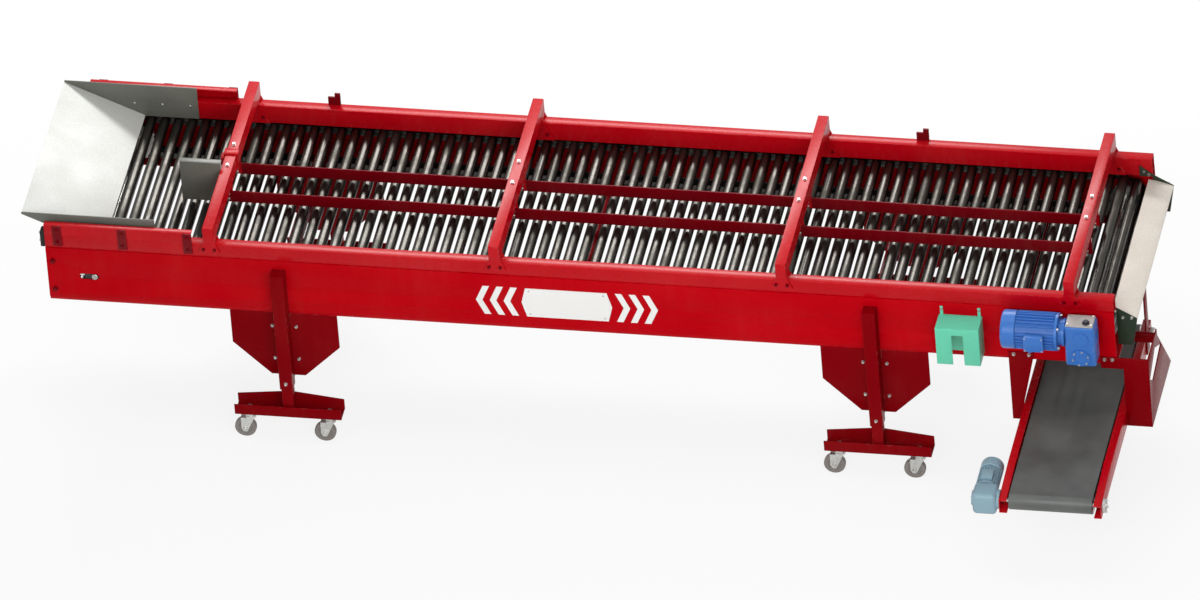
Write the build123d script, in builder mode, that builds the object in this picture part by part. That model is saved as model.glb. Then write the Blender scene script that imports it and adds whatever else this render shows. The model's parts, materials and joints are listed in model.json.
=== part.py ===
from build123d import *
import math
import os

os.makedirs("parts", exist_ok=True)

# Potato inspection table: a roller deck carried on two chains, seen from the operator's side.
# +X runs from the infeed to the discharge, the operator's side is -Y, and the floor is z = 0.

# Roller chain
roller_pitch = 63.5
roller_diameter = 46.0
roller_length = 1010.0
rollers_per_turn = 10
strand_pitches = 72
roller_facets = 8
return_facets = 6
shaft_facets = 10
drum_facets = 20
link_thickness = 4.0
link_height = 24.0
shaft_height = 834.0
seat_gap = 0.3
running_gap = 0.05

# Side beams and guards
chain_room = 45.0
tail_inset = 218.0
head_inset = 135.0
beam_wall = 5.0
beam_rise = 27.0
beam_lip_gap = 2.0
beam_lip_depth = 12.0
beam_top_flange = 46.0
beam_bottom_flange = 58.0
guard_wall = 4.0
guard_gap = 4.0
guard_height = 70.0
guard_width = 50.0
guard_recess = 4.0
raised_board_height = 57.0
raised_board_flange = 30.0
raised_board_end_gap = 4.0
strap_width = 40.0
strap_thickness = 5.0
strap_insets = (60.0, 362.0, 690.0)
strap_overlap = 55.0
tie_size = 50.0
tie_wall = 4.0
flat_tie_width = 60.0
flat_tie_thickness = 12.0
return_clearance = 23.0

# Arches and lane dividers
arch_spacing = 1321.0
arch_count = 4
first_arch = 764.0
arch_bar_width = 50.0
arch_bar_height = 75.0
arch_bar_wall = 4.0
arch_lift = 20.0
foot_plate_thickness = 8.0
foot_spread = 150.0
foot_depth = 96.0
outer_foot_spread = 100.0
outer_foot_depth = 40.0
lane_width = 208.0
divider_height = 60.0
divider_thickness = 8.0
divider_clearance = 8.0
hanger_width = 40.0
hanger_thickness = 6.0
clamp_wall = 8.0
clamp_length = 42.0
clamp_boss = 16.0
clamp_offset = 20.0
splitter_length = 190.0
splitter_height = 216.0
splitter_thickness = 5.0
splitter_lip = 25.0

# Infeed chute and discharge apron
chute_overhang = 111.0
chute_reach = 255.0
chute_rise = 170.0
chute_thickness = 5.0
liner_thickness = 6.0
liner_reach = 506.0
liner_edge = 5.0
apron_overhang = 95.0
apron_length = 115.0
apron_sink = 10.0
apron_drop = 30.0
apron_sag = 4.0
apron_thickness = 4.0
cheek_lap = 60.0
cheek_rise = 12.0
cheek_depth = 195.0
cheek_rake = 25.0

# Shafts, bearings and pocket wheels
shaft_diameter = 40.0
shaft_end_diameter = 30.0
shaft_hole_gap = 2.0
tail_shaft_stub = 4.0
wheel_thickness = 10.0
wheel_inset = 40.0
wheel_margin = 8.0
pocket_clearance = 0.6
bearing_thickness = 22.0
bearing_size = 96.0
housing_facets = 8
take_up_travel = 50.0
slot_height = 32.0
slot_corner = 0.3
slot_end_gap = 5.0
screw_diameter = 12.0
screw_head_diameter = 20.0
screw_head_height = 10.0
screw_facets = 8
screw_head_facets = 6
screw_lug_inset = 20.0
screw_lug_size = 50.0
screw_lug_thickness = 10.0
guide_leg = 40.0
guide_thickness = 4.0
guide_inset = 60.0

# Main drive
gearbox_width = 140.0
gearbox_depth = 100.0
gearbox_below = 52.0
gearbox_above = 66.0
gearbox_corner = 16.0
worm_offset = 103.0
gearbox_standoff = 45.0
gearbox_flange_diameter = 106.0
motor_diameter = 160.0
motor_fin = 9.0
motor_fin_width = 7.0
motor_fin_count = 16
motor_length = 180.0
cowl_length = 56.0
cowl_cap_length = 14.0
motor_neck_length = 30.0
motor_flange_length = 12.0
terminal_box_length = 86.0
terminal_box_depth = 30.0
terminal_box_height = 78.0

# Hood
hood_width = 200.0
hood_depth = 110.0
hood_height = 202.0
hood_wall = 4.0
hood_inset = 805.0
hood_slot_width = 52.0
hood_slot_height = 165.0
hood_drop = 63.0
hood_lug_width = 14.0
hood_lug_height = 46.0

# Legs and casters
leg_positions = (1078.0, 3806.0)
post_size = 60.0
post_wall = 4.5
post_top_drop = 45.0
post_below_beam = 390.0
inner_post_size = 50.0
inner_post_wall = 4.0
post_grip = 185.0
leg_travel = 150.0
gusset_width = 496.0
gusset_shoulder = 185.0
gusset_height = 356.0
gusset_toe = 157.0
gusset_thickness = 8.0
foot_length = 495.0
foot_channel_depth = 90.0
foot_channel_height = 55.0
foot_wall = 6.0
foot_crest = 30.0
caster_spread = 370.0
caster_height = 150.0
caster_trail = 27.0
caster_plate = (90.0, 70.0, 5.0)
caster_wheel_diameter = 100.0
caster_wheel_width = 32.0
caster_axle_diameter = 12.0
caster_side_gap = 1.0
fork_wall = 4.0
fork_leg_width = 34.0
fork_crown_gap = 8.0
swivel_diameter = 48.0
swivel_facets = 8
tread_facets = 20
lug_short = (32.0, 42.0)
lug_tall = (26.0, 64.0)
lug_shift = 60.0
lug_thickness = 10.0

# Cross conveyor under the discharge end
cross_inset = 441.0
cross_width = 469.0
cross_overhang = 690.0
cross_rear_reach = 110.0
cross_drop = 245.0
rail_height = 90.0
rail_flange = 36.0
rail_wall = 4.0
rail_nose_length = 277.0
rail_nose_drop = 20.0
belt_width = 382.0
belt_thickness = 4.0
belt_sink = 6.0
drum_diameter = 76.0
drum_inset = 45.0
drum_shaft_diameter = 25.0
drum_bearing_size = 62.0
drum_bearing_thickness = 16.0
spacer_size = 30.0
spacer_shares = (0.25, 0.75)
cross_gearbox_size = 112.0
cross_gearbox_width = 128.0
cross_motor_diameter = 106.0
cross_motor_length = 130.0
cross_cowl_length = 46.0
cross_cap_length = 14.0
cross_fin = 7.0
cross_fin_width = 6.0
cross_fin_count = 12

# Conveyor hangers and catch plate
hanger_plate = 6.0
left_hanger_top = 120.0
left_hanger_foot = 56.0
hanger_lap = 50.0
arm_lap = 75.0
arm_height = 62.0
right_hanger_width = 111.0
rear_strap_width = 60.0
rear_strap_gap = 10.0
catch_reach = 490.0
catch_shoulder = 230.0
catch_window = ((14.0, 262.0), (85.0, 205.0), (306.0, 245.0), (160.0, 330.0))
catch_bar_size = 34.0

# Bolt holes at the beam ends
end_hole_diameter = 14.0
end_hole_inset = 30.0
end_hole_spacing = 160.0

# Worked out from the sizes above
half_roller = roller_length / 2
half_width = half_roller + chain_room
housing_turn = 180.0 / housing_facets
roller_radius = roller_diameter / 2
step_angle = 360.0 / rollers_per_turn
top_angle = 90.0
pitch_radius = roller_pitch / (2 * math.sin(math.radians(step_angle / 2)))
strand_length = strand_pitches * roller_pitch
deck_length = tail_inset + strand_length + head_inset
top_axis = shaft_height + pitch_radius
return_axis = shaft_height - pitch_radius
roller_top = top_axis + roller_radius
beam_top = roller_top + beam_rise
guard_top = beam_top + guard_height
guard_bottom = roller_top + guard_gap
beam_bottom = return_axis - roller_radius - return_clearance
flange_top = beam_bottom + beam_wall
upper_guide_top = top_axis - link_height / 2 - seat_gap
lower_guide_top = return_axis - link_height / 2 - seat_gap
lip_top = lower_guide_top - guide_thickness - beam_lip_gap
guard_outer = half_width - guard_recess
guard_inner = guard_outer - guard_width
web_inner = half_width - beam_wall
arch_bottom = guard_top + arch_lift
arch_top = arch_bottom + arch_bar_height
rail_top = beam_bottom - cross_drop
rail_bottom = rail_top - rail_height
foot_bottom = caster_height
post_bottom = beam_bottom - post_below_beam
catch_right = deck_length - cross_inset + cross_width + right_hanger_width + hanger_plate

# The origin stands on the floor under the middle of the whole machine's outline.
front_reach = half_width + cross_overhang - drum_inset + cross_gearbox_size / 2
rear_reach = half_width + post_size / 2 + foot_channel_depth / 2
deck_y = (front_reach - rear_reach) / 2
infeed_x = -(catch_right - chute_overhang) / 2
tail_x = infeed_x + tail_inset
head_x = tail_x + strand_length
discharge_x = infeed_x + deck_length
arch_x = [infeed_x + first_arch + i * arch_spacing for i in range(arch_count)]
leg_x = [infeed_x + place for place in leg_positions]
rail_left = discharge_x - cross_inset
rail_right = rail_left + cross_width
cross_mid = (rail_left + rail_right) / 2


def across(side, distance):
    """Y of a place at this distance from the deck's centre line, front side -1 or rear side 1."""
    return deck_y + side * distance


def bore(radius, facets):
    """Many-sided hole whose flats just clear the corners of a shaft of this radius."""
    RegularPolygon(radius, facets, major_radius=False, rotation=180.0 / facets, mode=Mode.SUBTRACT)


def front_view(y):
    """Drawing plane seen from the operator's side at this y; extrusion comes forward, towards -Y."""
    return Plane.XZ.offset(-y)


# Side beams: deep folded sections with a slanted lip at the bottom
beam_outline = [
    (half_width - beam_top_flange, beam_top),
    (half_width, beam_top),
    (half_width, lip_top),
    (half_width - beam_lip_depth, beam_bottom),
    (half_width - beam_lip_depth - beam_bottom_flange, beam_bottom),
    (half_width - beam_lip_depth - beam_bottom_flange, beam_bottom + beam_wall),
    (half_width - beam_lip_depth - beam_wall, beam_bottom + beam_wall),
    (web_inner, lip_top),
    (web_inner, beam_top - beam_wall),
    (half_width - beam_top_flange, beam_top - beam_wall),
]
slot_right = tail_x + shaft_end_diameter / 2 + slot_end_gap
slot_left = tail_x - shaft_end_diameter / 2 - slot_end_gap - take_up_travel
screw_lug_x = infeed_x + screw_lug_inset


def side_beam(side):
    """One beam with its take-up slot, head shaft hole and screw lug, and bolt holes on the front one."""
    with BuildPart() as beam:
        with BuildSketch(Plane.YZ.offset(infeed_x)):
            Polygon(*[(across(side, w), z) for w, z in beam_outline], align=None)
        extrude(amount=deck_length)
        with BuildSketch(front_view(across(side, half_width))):
            with Locations(((slot_left + slot_right) / 2, shaft_height)):
                slot = Rectangle(slot_right - slot_left, slot_height)
            chamfer(slot.vertices(), slot_height * slot_corner)
        extrude(amount=beam_wall, both=True, mode=Mode.SUBTRACT)
        with BuildSketch(front_view(across(side, half_width))):
            with Locations((head_x, shaft_height)):
                RegularPolygon(shaft_diameter / 2 + shaft_hole_gap, shaft_facets, major_radius=False)
            if side < 0:
                with Locations((infeed_x + end_hole_inset, shaft_height)):
                    with GridLocations(0, end_hole_spacing, 1, 2):
                        Circle(end_hole_diameter / 2)
        extrude(amount=beam_wall, both=True, mode=Mode.SUBTRACT)
        with BuildSketch(Plane.YZ.offset(screw_lug_x)):
            with Locations((across(side, web_inner - screw_lug_size / 2), shaft_height)):
                Rectangle(screw_lug_size, screw_lug_size)
            with Locations((across(side, web_inner - bearing_thickness / 2), shaft_height)):
                bore(screw_diameter / 2 + seat_gap, screw_facets)
        extrude(amount=screw_lug_thickness)
    return beam


front_side_beam = side_beam(-1)
front_side_beam.part.label = "front_side_beam"
export_step(front_side_beam.part, "parts/front_side_beam.step")

rear_side_beam = side_beam(1)
rear_side_beam.part.label = "rear_side_beam"
export_step(rear_side_beam.part, "parts/rear_side_beam.step")

# Guard boards: channels folded over the beam's top, the inner wall reaching down to the rollers
guard_outline = [
    (guard_outer, beam_top),
    (guard_outer, guard_top),
    (guard_inner, guard_top),
    (guard_inner, guard_bottom),
    (guard_inner + guard_wall, guard_bottom),
    (guard_inner + guard_wall, guard_top - guard_wall),
    (guard_outer - guard_wall, guard_top - guard_wall),
    (guard_outer - guard_wall, beam_top),
]
with BuildPart() as guard_boards:
    with BuildSketch(Plane.YZ.offset(infeed_x)):
        for side in (-1, 1):
            Polygon(*[(across(side, w), z) for w, z in guard_outline], align=None)
    extrude(amount=deck_length)
guard_boards.part.label = "guard_boards"
export_step(guard_boards.part, "parts/guard_boards.step")

# Raised boards at the infeed: angles standing on the guards, each held by three straps
raised_top = guard_top + raised_board_height
raised_length = first_arch - foot_spread / 2 - raised_board_end_gap
raised_outline = [
    (guard_outer, guard_top),
    (guard_outer, raised_top),
    (guard_outer - raised_board_flange, raised_top),
    (guard_outer - raised_board_flange, raised_top - guard_wall),
    (guard_outer - guard_wall, raised_top - guard_wall),
    (guard_outer - guard_wall, guard_top),
]
with BuildPart() as raised_infeed_boards:
    for side in (-1, 1):
        with BuildSketch(Plane.YZ.offset(infeed_x)):
            Polygon(*[(across(side, w), z) for w, z in raised_outline], align=None)
        extrude(amount=raised_length)
        with BuildSketch(front_view(across(side, guard_outer + strap_thickness / 2))):
            for inset in strap_insets:
                with Locations((infeed_x + min(inset, raised_length - strap_width / 2), guard_top)):
                    Rectangle(strap_width, 2 * strap_overlap)
        extrude(amount=strap_thickness / 2, both=True)
raised_infeed_boards.part.label = "raised_infeed_boards"
export_step(raised_infeed_boards.part, "parts/raised_infeed_boards.step")

# Cross ties: square tubes between the two strands, and flat bars on the bottom flanges at the cross belt
tube_tie_x = [leg_x[0], (leg_x[0] + leg_x[1]) / 2, leg_x[1]]
flat_tie_x = [rail_left - flat_tie_width / 2, discharge_x - flat_tie_width / 2]
flat_tie_half = half_width - beam_lip_depth - beam_wall
flat_tie_z = flange_top + flat_tie_thickness / 2
with BuildPart() as cross_ties:
    with BuildSketch(front_view(across(1, web_inner))):
        with Locations(*[(x, shaft_height) for x in tube_tie_x]):
            Rectangle(tie_size, tie_size)
            Rectangle(tie_size - 2 * tie_wall, tie_size - 2 * tie_wall, mode=Mode.SUBTRACT)
    extrude(amount=2 * web_inner)
    with BuildSketch(front_view(across(1, flat_tie_half))):
        with Locations(*[(x, flat_tie_z) for x in flat_tie_x]):
            Rectangle(flat_tie_width, flat_tie_thickness)
    extrude(amount=2 * flat_tie_half)
cross_ties.part.label = "cross_ties"
export_step(cross_ties.part, "parts/cross_ties.step")

# Arches: rectangular tubes across the deck on flared feet that straddle the guards
foot_bottom_inner = guard_top - foot_depth + guard_gap
arch_half = guard_outer + foot_plate_thickness


def flared_plate(x, bottom, spread):
    """Trapezoid as wide as the bar at the top and spread at the bottom."""
    Polygon(
        (x - arch_bar_width / 2, arch_bottom),
        (x + arch_bar_width / 2, arch_bottom),
        (x + spread / 2, bottom),
        (x - spread / 2, bottom),
        align=None,
    )


with BuildPart() as inspection_arches:
    with BuildSketch(front_view(across(1, arch_half))):
        for x in arch_x:
            with Locations((x, (arch_bottom + arch_top) / 2)):
                Rectangle(arch_bar_width, arch_bar_height)
                Rectangle(
                    arch_bar_width - 2 * arch_bar_wall,
                    arch_bar_height - 2 * arch_bar_wall,
                    mode=Mode.SUBTRACT,
                )
    extrude(amount=2 * arch_half)
    for side in (-1, 1):
        with BuildSketch(front_view(across(side, guard_inner - foot_plate_thickness / 2))):
            for x in arch_x:
                flared_plate(x, foot_bottom_inner, foot_spread)
        extrude(amount=foot_plate_thickness / 2, both=True)
        with BuildSketch(front_view(across(side, guard_outer + foot_plate_thickness / 2))):
            for x in arch_x:
                flared_plate(x, guard_top - outer_foot_depth, outer_foot_spread)
        extrude(amount=foot_plate_thickness / 2, both=True)
        with BuildSketch(front_view(across(side, (guard_inner + guard_outer) / 2))):
            for x in arch_x:
                with Locations((x, (guard_top + arch_bottom) / 2)):
                    Rectangle(arch_bar_width, arch_lift)
        extrude(amount=guard_width / 2, both=True)
inspection_arches.part.label = "inspection_arches"
export_step(inspection_arches.part, "parts/inspection_arches.step")

# Lane dividers: two boards just above the rollers, from the first arch to the last
divider_bottom = roller_top + divider_clearance
divider_top = divider_bottom + divider_height
divider_left = arch_x[0] - arch_bar_width / 2
divider_length = arch_x[-1] - arch_x[0] + arch_bar_width
with BuildPart() as lane_dividers:
    with BuildSketch(Plane.YZ.offset(divider_left)):
        for side in (-1, 1):
            with Locations((across(side, lane_width / 2), (divider_bottom + divider_top) / 2)):
                Rectangle(divider_thickness, divider_height)
    extrude(amount=divider_length)
lane_dividers.part.label = "lane_dividers"
export_step(lane_dividers.part, "parts/lane_dividers.step")

# Divider hangers: bent straps bolted under each bar and against the divider's lane side
hanger_face = lane_width / 2 - divider_thickness / 2
hanger_outline = [
    (hanger_face, divider_bottom + hanger_thickness),
    (hanger_face, arch_bottom),
    (hanger_face - hanger_width, arch_bottom),
    (hanger_face - hanger_width, arch_bottom - hanger_thickness),
    (hanger_face - hanger_thickness, arch_bottom - hanger_thickness),
    (hanger_face - hanger_thickness, divider_bottom + hanger_thickness),
]
with BuildPart() as divider_hangers:
    for x in arch_x:
        with BuildSketch(Plane.YZ.offset(x)):
            for side in (-1, 1):
                Polygon(*[(across(side, w), z) for w, z in hanger_outline], align=None)
        extrude(amount=hanger_width / 2, both=True)
divider_hangers.part.label = "divider_hangers"
export_step(divider_hangers.part, "parts/divider_hangers.step")

# Clamp on the first arch: a saddle over the bar with a boss on the infeed side
clamp_y = deck_y + clamp_offset
with BuildPart() as splitter_clamp:
    with BuildSketch(front_view(clamp_y)):
        with Locations((arch_x[0], (arch_bottom + arch_top) / 2 + clamp_wall / 2)):
            Rectangle(arch_bar_width + 2 * clamp_wall, arch_bar_height + clamp_wall)
        with Locations((arch_x[0] - arch_bar_width / 2 - clamp_wall, (arch_bottom + arch_top) / 2)):
            Rectangle(2 * clamp_boss, arch_bar_height / 2)
        with Locations((arch_x[0], (arch_bottom + arch_top) / 2)):
            Rectangle(arch_bar_width, arch_bar_height, mode=Mode.SUBTRACT)
    extrude(amount=clamp_length / 2, both=True)
splitter_clamp.part.label = "splitter_clamp"
export_step(splitter_clamp.part, "parts/splitter_clamp.step")

# Splitter plate: an upright sheet ahead of the front divider, folded at the top and at the bar
splitter_y = across(-1, lane_width / 2)
splitter_right = arch_x[0] - arch_bar_width / 2
splitter_top = divider_bottom + splitter_height
with BuildPart() as infeed_splitter_plate:
    with BuildSketch(front_view(splitter_y)):
        with Locations((splitter_right - splitter_length / 2, divider_bottom + splitter_height / 2)):
            Rectangle(splitter_length, splitter_height)
    extrude(amount=splitter_thickness)
    with BuildSketch(front_view(splitter_y)):
        with Locations((splitter_right - splitter_length / 2, splitter_top - splitter_thickness / 2)):
            Rectangle(splitter_length, splitter_thickness)
        with Locations((splitter_right - splitter_thickness / 2, (arch_bottom + arch_top) / 2)):
            Rectangle(splitter_thickness, arch_bar_height)
    extrude(amount=-splitter_lip)
infeed_splitter_plate.part.label = "infeed_splitter_plate"
export_step(infeed_splitter_plate.part, "parts/infeed_splitter_plate.step")

# Infeed chute: a sloping floor sheet between two side liners on the guards' inner faces
chute_low = guard_bottom
chute_high = chute_low + chute_rise
chute_left = infeed_x - chute_overhang
chute_right = infeed_x + chute_reach
liner_inner = guard_inner - liner_thickness
with BuildPart() as infeed_chute_floor:
    with BuildSketch(front_view(across(1, liner_inner))):
        Polygon(
            (chute_left, chute_high - chute_thickness),
            (chute_right, chute_low),
            (chute_right, chute_low + chute_thickness),
            (chute_left, chute_high),
            align=None,
        )
    extrude(amount=2 * liner_inner)
infeed_chute_floor.part.label = "infeed_chute_floor"
export_step(infeed_chute_floor.part, "parts/infeed_chute_floor.step")

with BuildPart() as infeed_chute_liners:
    for side in (-1, 1):
        with BuildSketch(front_view(across(side, guard_inner - liner_thickness / 2))):
            Polygon(
                (chute_left, chute_high - chute_thickness),
                (chute_right, chute_low),
                (infeed_x + liner_reach, chute_low),
                (infeed_x + liner_reach, chute_high + liner_edge),
                (chute_left, chute_high + liner_edge),
                align=None,
            )
        extrude(amount=liner_thickness / 2, both=True)
infeed_chute_liners.part.label = "infeed_chute_liners"
export_step(infeed_chute_liners.part, "parts/infeed_chute_liners.step")

# Discharge apron: a pale rubber sheet past the end rollers, held between a cheek plate at each side
apron_right = discharge_x + apron_overhang
apron_left = apron_right - apron_length
apron_top = roller_top - apron_sink
apron_low = apron_top - apron_drop
apron_mid = ((apron_left + apron_right) / 2, apron_top - apron_drop / 2 + apron_sag)
with BuildPart() as discharge_apron:
    with BuildSketch(front_view(across(1, liner_inner))):
        with BuildLine():
            upper = ThreePointArc(
                (apron_left, apron_top), apron_mid, (apron_right, apron_low)
            )
            lower = ThreePointArc(
                (apron_left, apron_top - apron_thickness),
                (apron_mid[0], apron_mid[1] - apron_thickness),
                (apron_right, apron_low - apron_thickness),
            )
            Line(upper @ 0, lower @ 0)
            Line(upper @ 1, lower @ 1)
        make_face()
    extrude(amount=2 * liner_inner)
discharge_apron.part.label = "discharge_apron"
export_step(discharge_apron.part, "parts/discharge_apron.step")

with BuildPart() as apron_brackets:
    for side in (-1, 1):
        with BuildSketch(front_view(across(side, guard_inner - liner_thickness / 2))):
            Polygon(
                (discharge_x - cheek_lap, guard_bottom),
                (discharge_x - cheek_lap, guard_bottom + cheek_lap),
                (discharge_x, guard_bottom + cheek_rise),
                (apron_right, apron_low),
                (apron_right - cheek_rake, guard_bottom - cheek_depth),
                (discharge_x, guard_bottom - cheek_depth),
                (discharge_x, guard_bottom),
                align=None,
            )
        extrude(amount=liner_thickness / 2, both=True)
apron_brackets.part.label = "apron_brackets"
export_step(apron_brackets.part, "parts/apron_brackets.step")

# Chain guides: angles on the webs, just under the link plates of both strands
guide_inner = half_roller + seat_gap
guide_length = strand_length - 2 * guide_inset
with BuildPart() as chain_guides:
    with BuildSketch(Plane.YZ.offset(tail_x + guide_inset)):
        for side in (-1, 1):
            for top, leg in ((upper_guide_top, -guide_leg), (lower_guide_top, guide_leg)):
                shelf = top - guide_thickness if leg > 0 else top
                Polygon(
                    (across(side, guide_inner), top),
                    (across(side, guide_inner), top - guide_thickness),
                    (across(side, web_inner), top - guide_thickness),
                    (across(side, web_inner), top),
                    align=None,
                )
                Polygon(
                    (across(side, web_inner), shelf),
                    (across(side, web_inner), shelf + leg),
                    (across(side, web_inner - guide_thickness), shelf + leg),
                    (across(side, web_inner - guide_thickness), shelf),
                    align=None,
                )
    extrude(amount=guide_length)
chain_guides.part.label = "chain_guides"
export_step(chain_guides.part, "parts/chain_guides.step")

# Deck rollers and return rollers, one at every chain pitch between the two wheels
link_x = [tail_x + (i + 0.5) * roller_pitch for i in range(strand_pitches)]
strand_x = [tail_x + i * roller_pitch for i in range(1, strand_pitches)]
roller_plane = front_view(across(1, half_roller))
with BuildPart() as top_rollers:
    with BuildSketch(roller_plane):
        with Locations(*[(x, top_axis) for x in strand_x]):
            RegularPolygon(roller_radius, roller_facets)
    extrude(amount=roller_length)
top_rollers.part.label = "top_rollers"
export_step(top_rollers.part, "parts/top_rollers.step")

with BuildPart() as return_rollers:
    with BuildSketch(roller_plane):
        with Locations(*[(x, return_axis) for x in strand_x]):
            RegularPolygon(roller_radius, return_facets)
    extrude(amount=roller_length)
return_rollers.part.label = "return_rollers"
export_step(return_rollers.part, "parts/return_rollers.step")

# Link plates: inner plates lie on the roller ends, outer plates on the inner ones
link_length = roller_pitch + link_height
half_turn = rollers_per_turn // 2


def link_plane(side, layer):
    """Plane of one layer of plates, 0 inner and 1 outer, facing the operator."""
    near = half_roller + layer * (link_thickness + seat_gap)
    return front_view(across(side, near if side < 0 else near + link_thickness))


def strand_chain(axis_z, first_layer):
    """Both chains of one strand; the first link is in the given layer and the layers alternate."""
    with BuildPart() as chain:
        for side in (-1, 1):
            for layer in (0, 1):
                start = (layer + first_layer) % 2
                places = [(x, axis_z) for x in link_x[start::2]]
                with BuildSketch(link_plane(side, layer)):
                    with Locations(*places):
                        Rectangle(link_length, link_height)
                extrude(amount=link_thickness)
    return chain


top_chain = strand_chain(top_axis, 0)
top_chain.part.label = "top_chain"
export_step(top_chain.part, "parts/top_chain.step")

return_chain = strand_chain(return_axis, (half_turn + 1) % 2)
return_chain.part.label = "return_chain"
export_step(return_chain.part, "parts/return_chain.step")


def wrapped_chain(axis_x, turn, first_layer):
    """Rollers and links carried round one end; turn is 1 at the tail and -1 at the head."""
    mid_radius = pitch_radius * math.cos(math.radians(step_angle / 2))
    with BuildPart() as wrap:
        with BuildSketch(roller_plane):
            for i in range(half_turn + 1):
                angle = math.radians(i * step_angle)
                rise = pitch_radius * math.cos(angle)
                spot = (axis_x - turn * pitch_radius * math.sin(angle), shaft_height + rise)
                with Locations(spot):
                    RegularPolygon(roller_radius, roller_facets)
        extrude(amount=roller_length)
        for side in (-1, 1):
            for i in range(half_turn):
                link_angle = (i + 0.5) * step_angle
                angle = math.radians(link_angle)
                rise = mid_radius * math.cos(angle)
                spot = (axis_x - turn * mid_radius * math.sin(angle), shaft_height + rise)
                with BuildSketch(link_plane(side, (first_layer + i) % 2)):
                    with Locations(Location(spot, turn * link_angle)):
                        Rectangle(link_length, link_height)
                extrude(amount=link_thickness)
    return wrap


tail_wrap_rollers = wrapped_chain(tail_x, 1, 1)
tail_wrap_rollers.part.label = "tail_wrap_rollers"
export_step(tail_wrap_rollers.part, "parts/tail_wrap_rollers.step")

head_wrap_rollers = wrapped_chain(head_x, -1, 0)
head_wrap_rollers.part.label = "head_wrap_rollers"
export_step(head_wrap_rollers.part, "parts/head_wrap_rollers.step")

# Head and tail shafts, each with two pocket wheels that the rollers sit in
wheel_face = half_roller - wheel_inset
gearbox_front = half_width + gearbox_standoff + gearbox_depth
shaft_shoulder = web_inner - bearing_thickness - 2 * seat_gap


def pocket_shaft(axis_x, end_diameter, front_end, rear_end):
    """Shaft with its two pocket wheels keyed on, running from the front end to the rear end."""
    with BuildPart() as shaft:
        with BuildSketch(front_view(across(1, shaft_shoulder))):
            with Locations((axis_x, shaft_height)):
                RegularPolygon(shaft_diameter / 2, shaft_facets)
        extrude(amount=2 * shaft_shoulder)
        with BuildSketch(front_view(across(1, rear_end))):
            with Locations((axis_x, shaft_height)):
                RegularPolygon(end_diameter / 2, shaft_facets)
        extrude(amount=rear_end + front_end)
        for side in (-1, 1):
            with BuildSketch(front_view(across(side, wheel_face))):
                with Locations((axis_x, shaft_height)):
                    rim_turn = top_angle + step_angle / 2
                    RegularPolygon(pitch_radius - wheel_margin, rollers_per_turn, rotation=rim_turn)
                    with PolarLocations(pitch_radius, rollers_per_turn, start_angle=top_angle):
                        bore(roller_radius + pocket_clearance, roller_facets)
            extrude(amount=wheel_thickness / 2, both=True)
    return shaft


head_shaft = pocket_shaft(head_x, shaft_diameter, gearbox_front, web_inner)
head_shaft.part.label = "head_shaft"
export_step(head_shaft.part, "parts/head_shaft.step")

tail_shaft_end = half_width + tail_shaft_stub
tail_shaft = pocket_shaft(tail_x, shaft_end_diameter, tail_shaft_end, tail_shaft_end)
tail_shaft.part.label = "tail_shaft"
export_step(tail_shaft.part, "parts/tail_shaft.step")


def bearing_pair(axis_x, shaft_size, back):
    """Two flanged bearing housings, their backs at this distance from the centre line."""
    with BuildPart() as bearings:
        for side in (-1, 1):
            with BuildSketch(front_view(across(side, back - bearing_thickness / 2))):
                with Locations((axis_x, shaft_height)):
                    RegularPolygon(bearing_size / 2, housing_facets, False, housing_turn)
                    bore(shaft_size / 2 + running_gap, shaft_facets)
            extrude(amount=bearing_thickness / 2, both=True)
    return bearings


head_bearings = bearing_pair(head_x, shaft_diameter, web_inner)
head_bearings.part.label = "head_bearings"
export_step(head_bearings.part, "parts/head_bearings.step")

take_up_blocks = bearing_pair(tail_x, shaft_end_diameter, web_inner - seat_gap)
take_up_blocks.part.label = "take_up_blocks"
export_step(take_up_blocks.part, "parts/take_up_blocks.step")

# Take-up screws: from the blocks out through the lugs at the beam ends
screw_right = tail_x - bearing_size / 2
screw_y = web_inner - bearing_thickness / 2
with BuildPart() as take_up_screws:
    with BuildSketch(Plane.YZ.offset(screw_right)):
        for side in (-1, 1):
            with Locations((across(side, screw_y), shaft_height)):
                RegularPolygon(screw_diameter / 2, screw_facets)
    extrude(amount=screw_lug_x - screw_head_height - screw_right)
    with BuildSketch(Plane.YZ.offset(screw_lug_x)):
        for side in (-1, 1):
            with Locations((across(side, screw_y), shaft_height)):
                RegularPolygon(screw_head_diameter / 2, screw_head_facets)
    extrude(amount=-screw_head_height)
take_up_screws.part.label = "take_up_screws"
export_step(take_up_screws.part, "parts/take_up_screws.step")

# Worm gearbox on the head shaft, bolted to the front beam by a round flange
gearbox_y = across(-1, half_width + gearbox_standoff + gearbox_depth / 2)
worm_height = shaft_height + worm_offset
gearbox_left = head_x - gearbox_width / 2
gearbox_bottom = shaft_height - gearbox_below
gearbox_top = worm_height + gearbox_above
with BuildPart() as main_gearbox:
    with BuildSketch(front_view(gearbox_y)):
        with Locations((head_x, (gearbox_bottom + gearbox_top) / 2)):
            housing = Rectangle(gearbox_width, gearbox_top - gearbox_bottom)
        chamfer(housing.vertices(), gearbox_corner)
    extrude(amount=gearbox_depth / 2, both=True)
    with BuildSketch(front_view(across(-1, half_width))):
        with Locations((head_x, shaft_height)):
            RegularPolygon(gearbox_flange_diameter / 2, drum_facets)
    extrude(amount=gearbox_standoff)
    with BuildSketch(front_view(across(-1, half_width))):
        with Locations((head_x, shaft_height)):
            RegularPolygon(shaft_diameter / 2 + running_gap, shaft_facets, False, 180.0 / shaft_facets)
    extrude(amount=gearbox_standoff + gearbox_depth, mode=Mode.SUBTRACT)
main_gearbox.part.label = "main_gearbox"
export_step(main_gearbox.part, "parts/main_gearbox.step")

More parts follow.
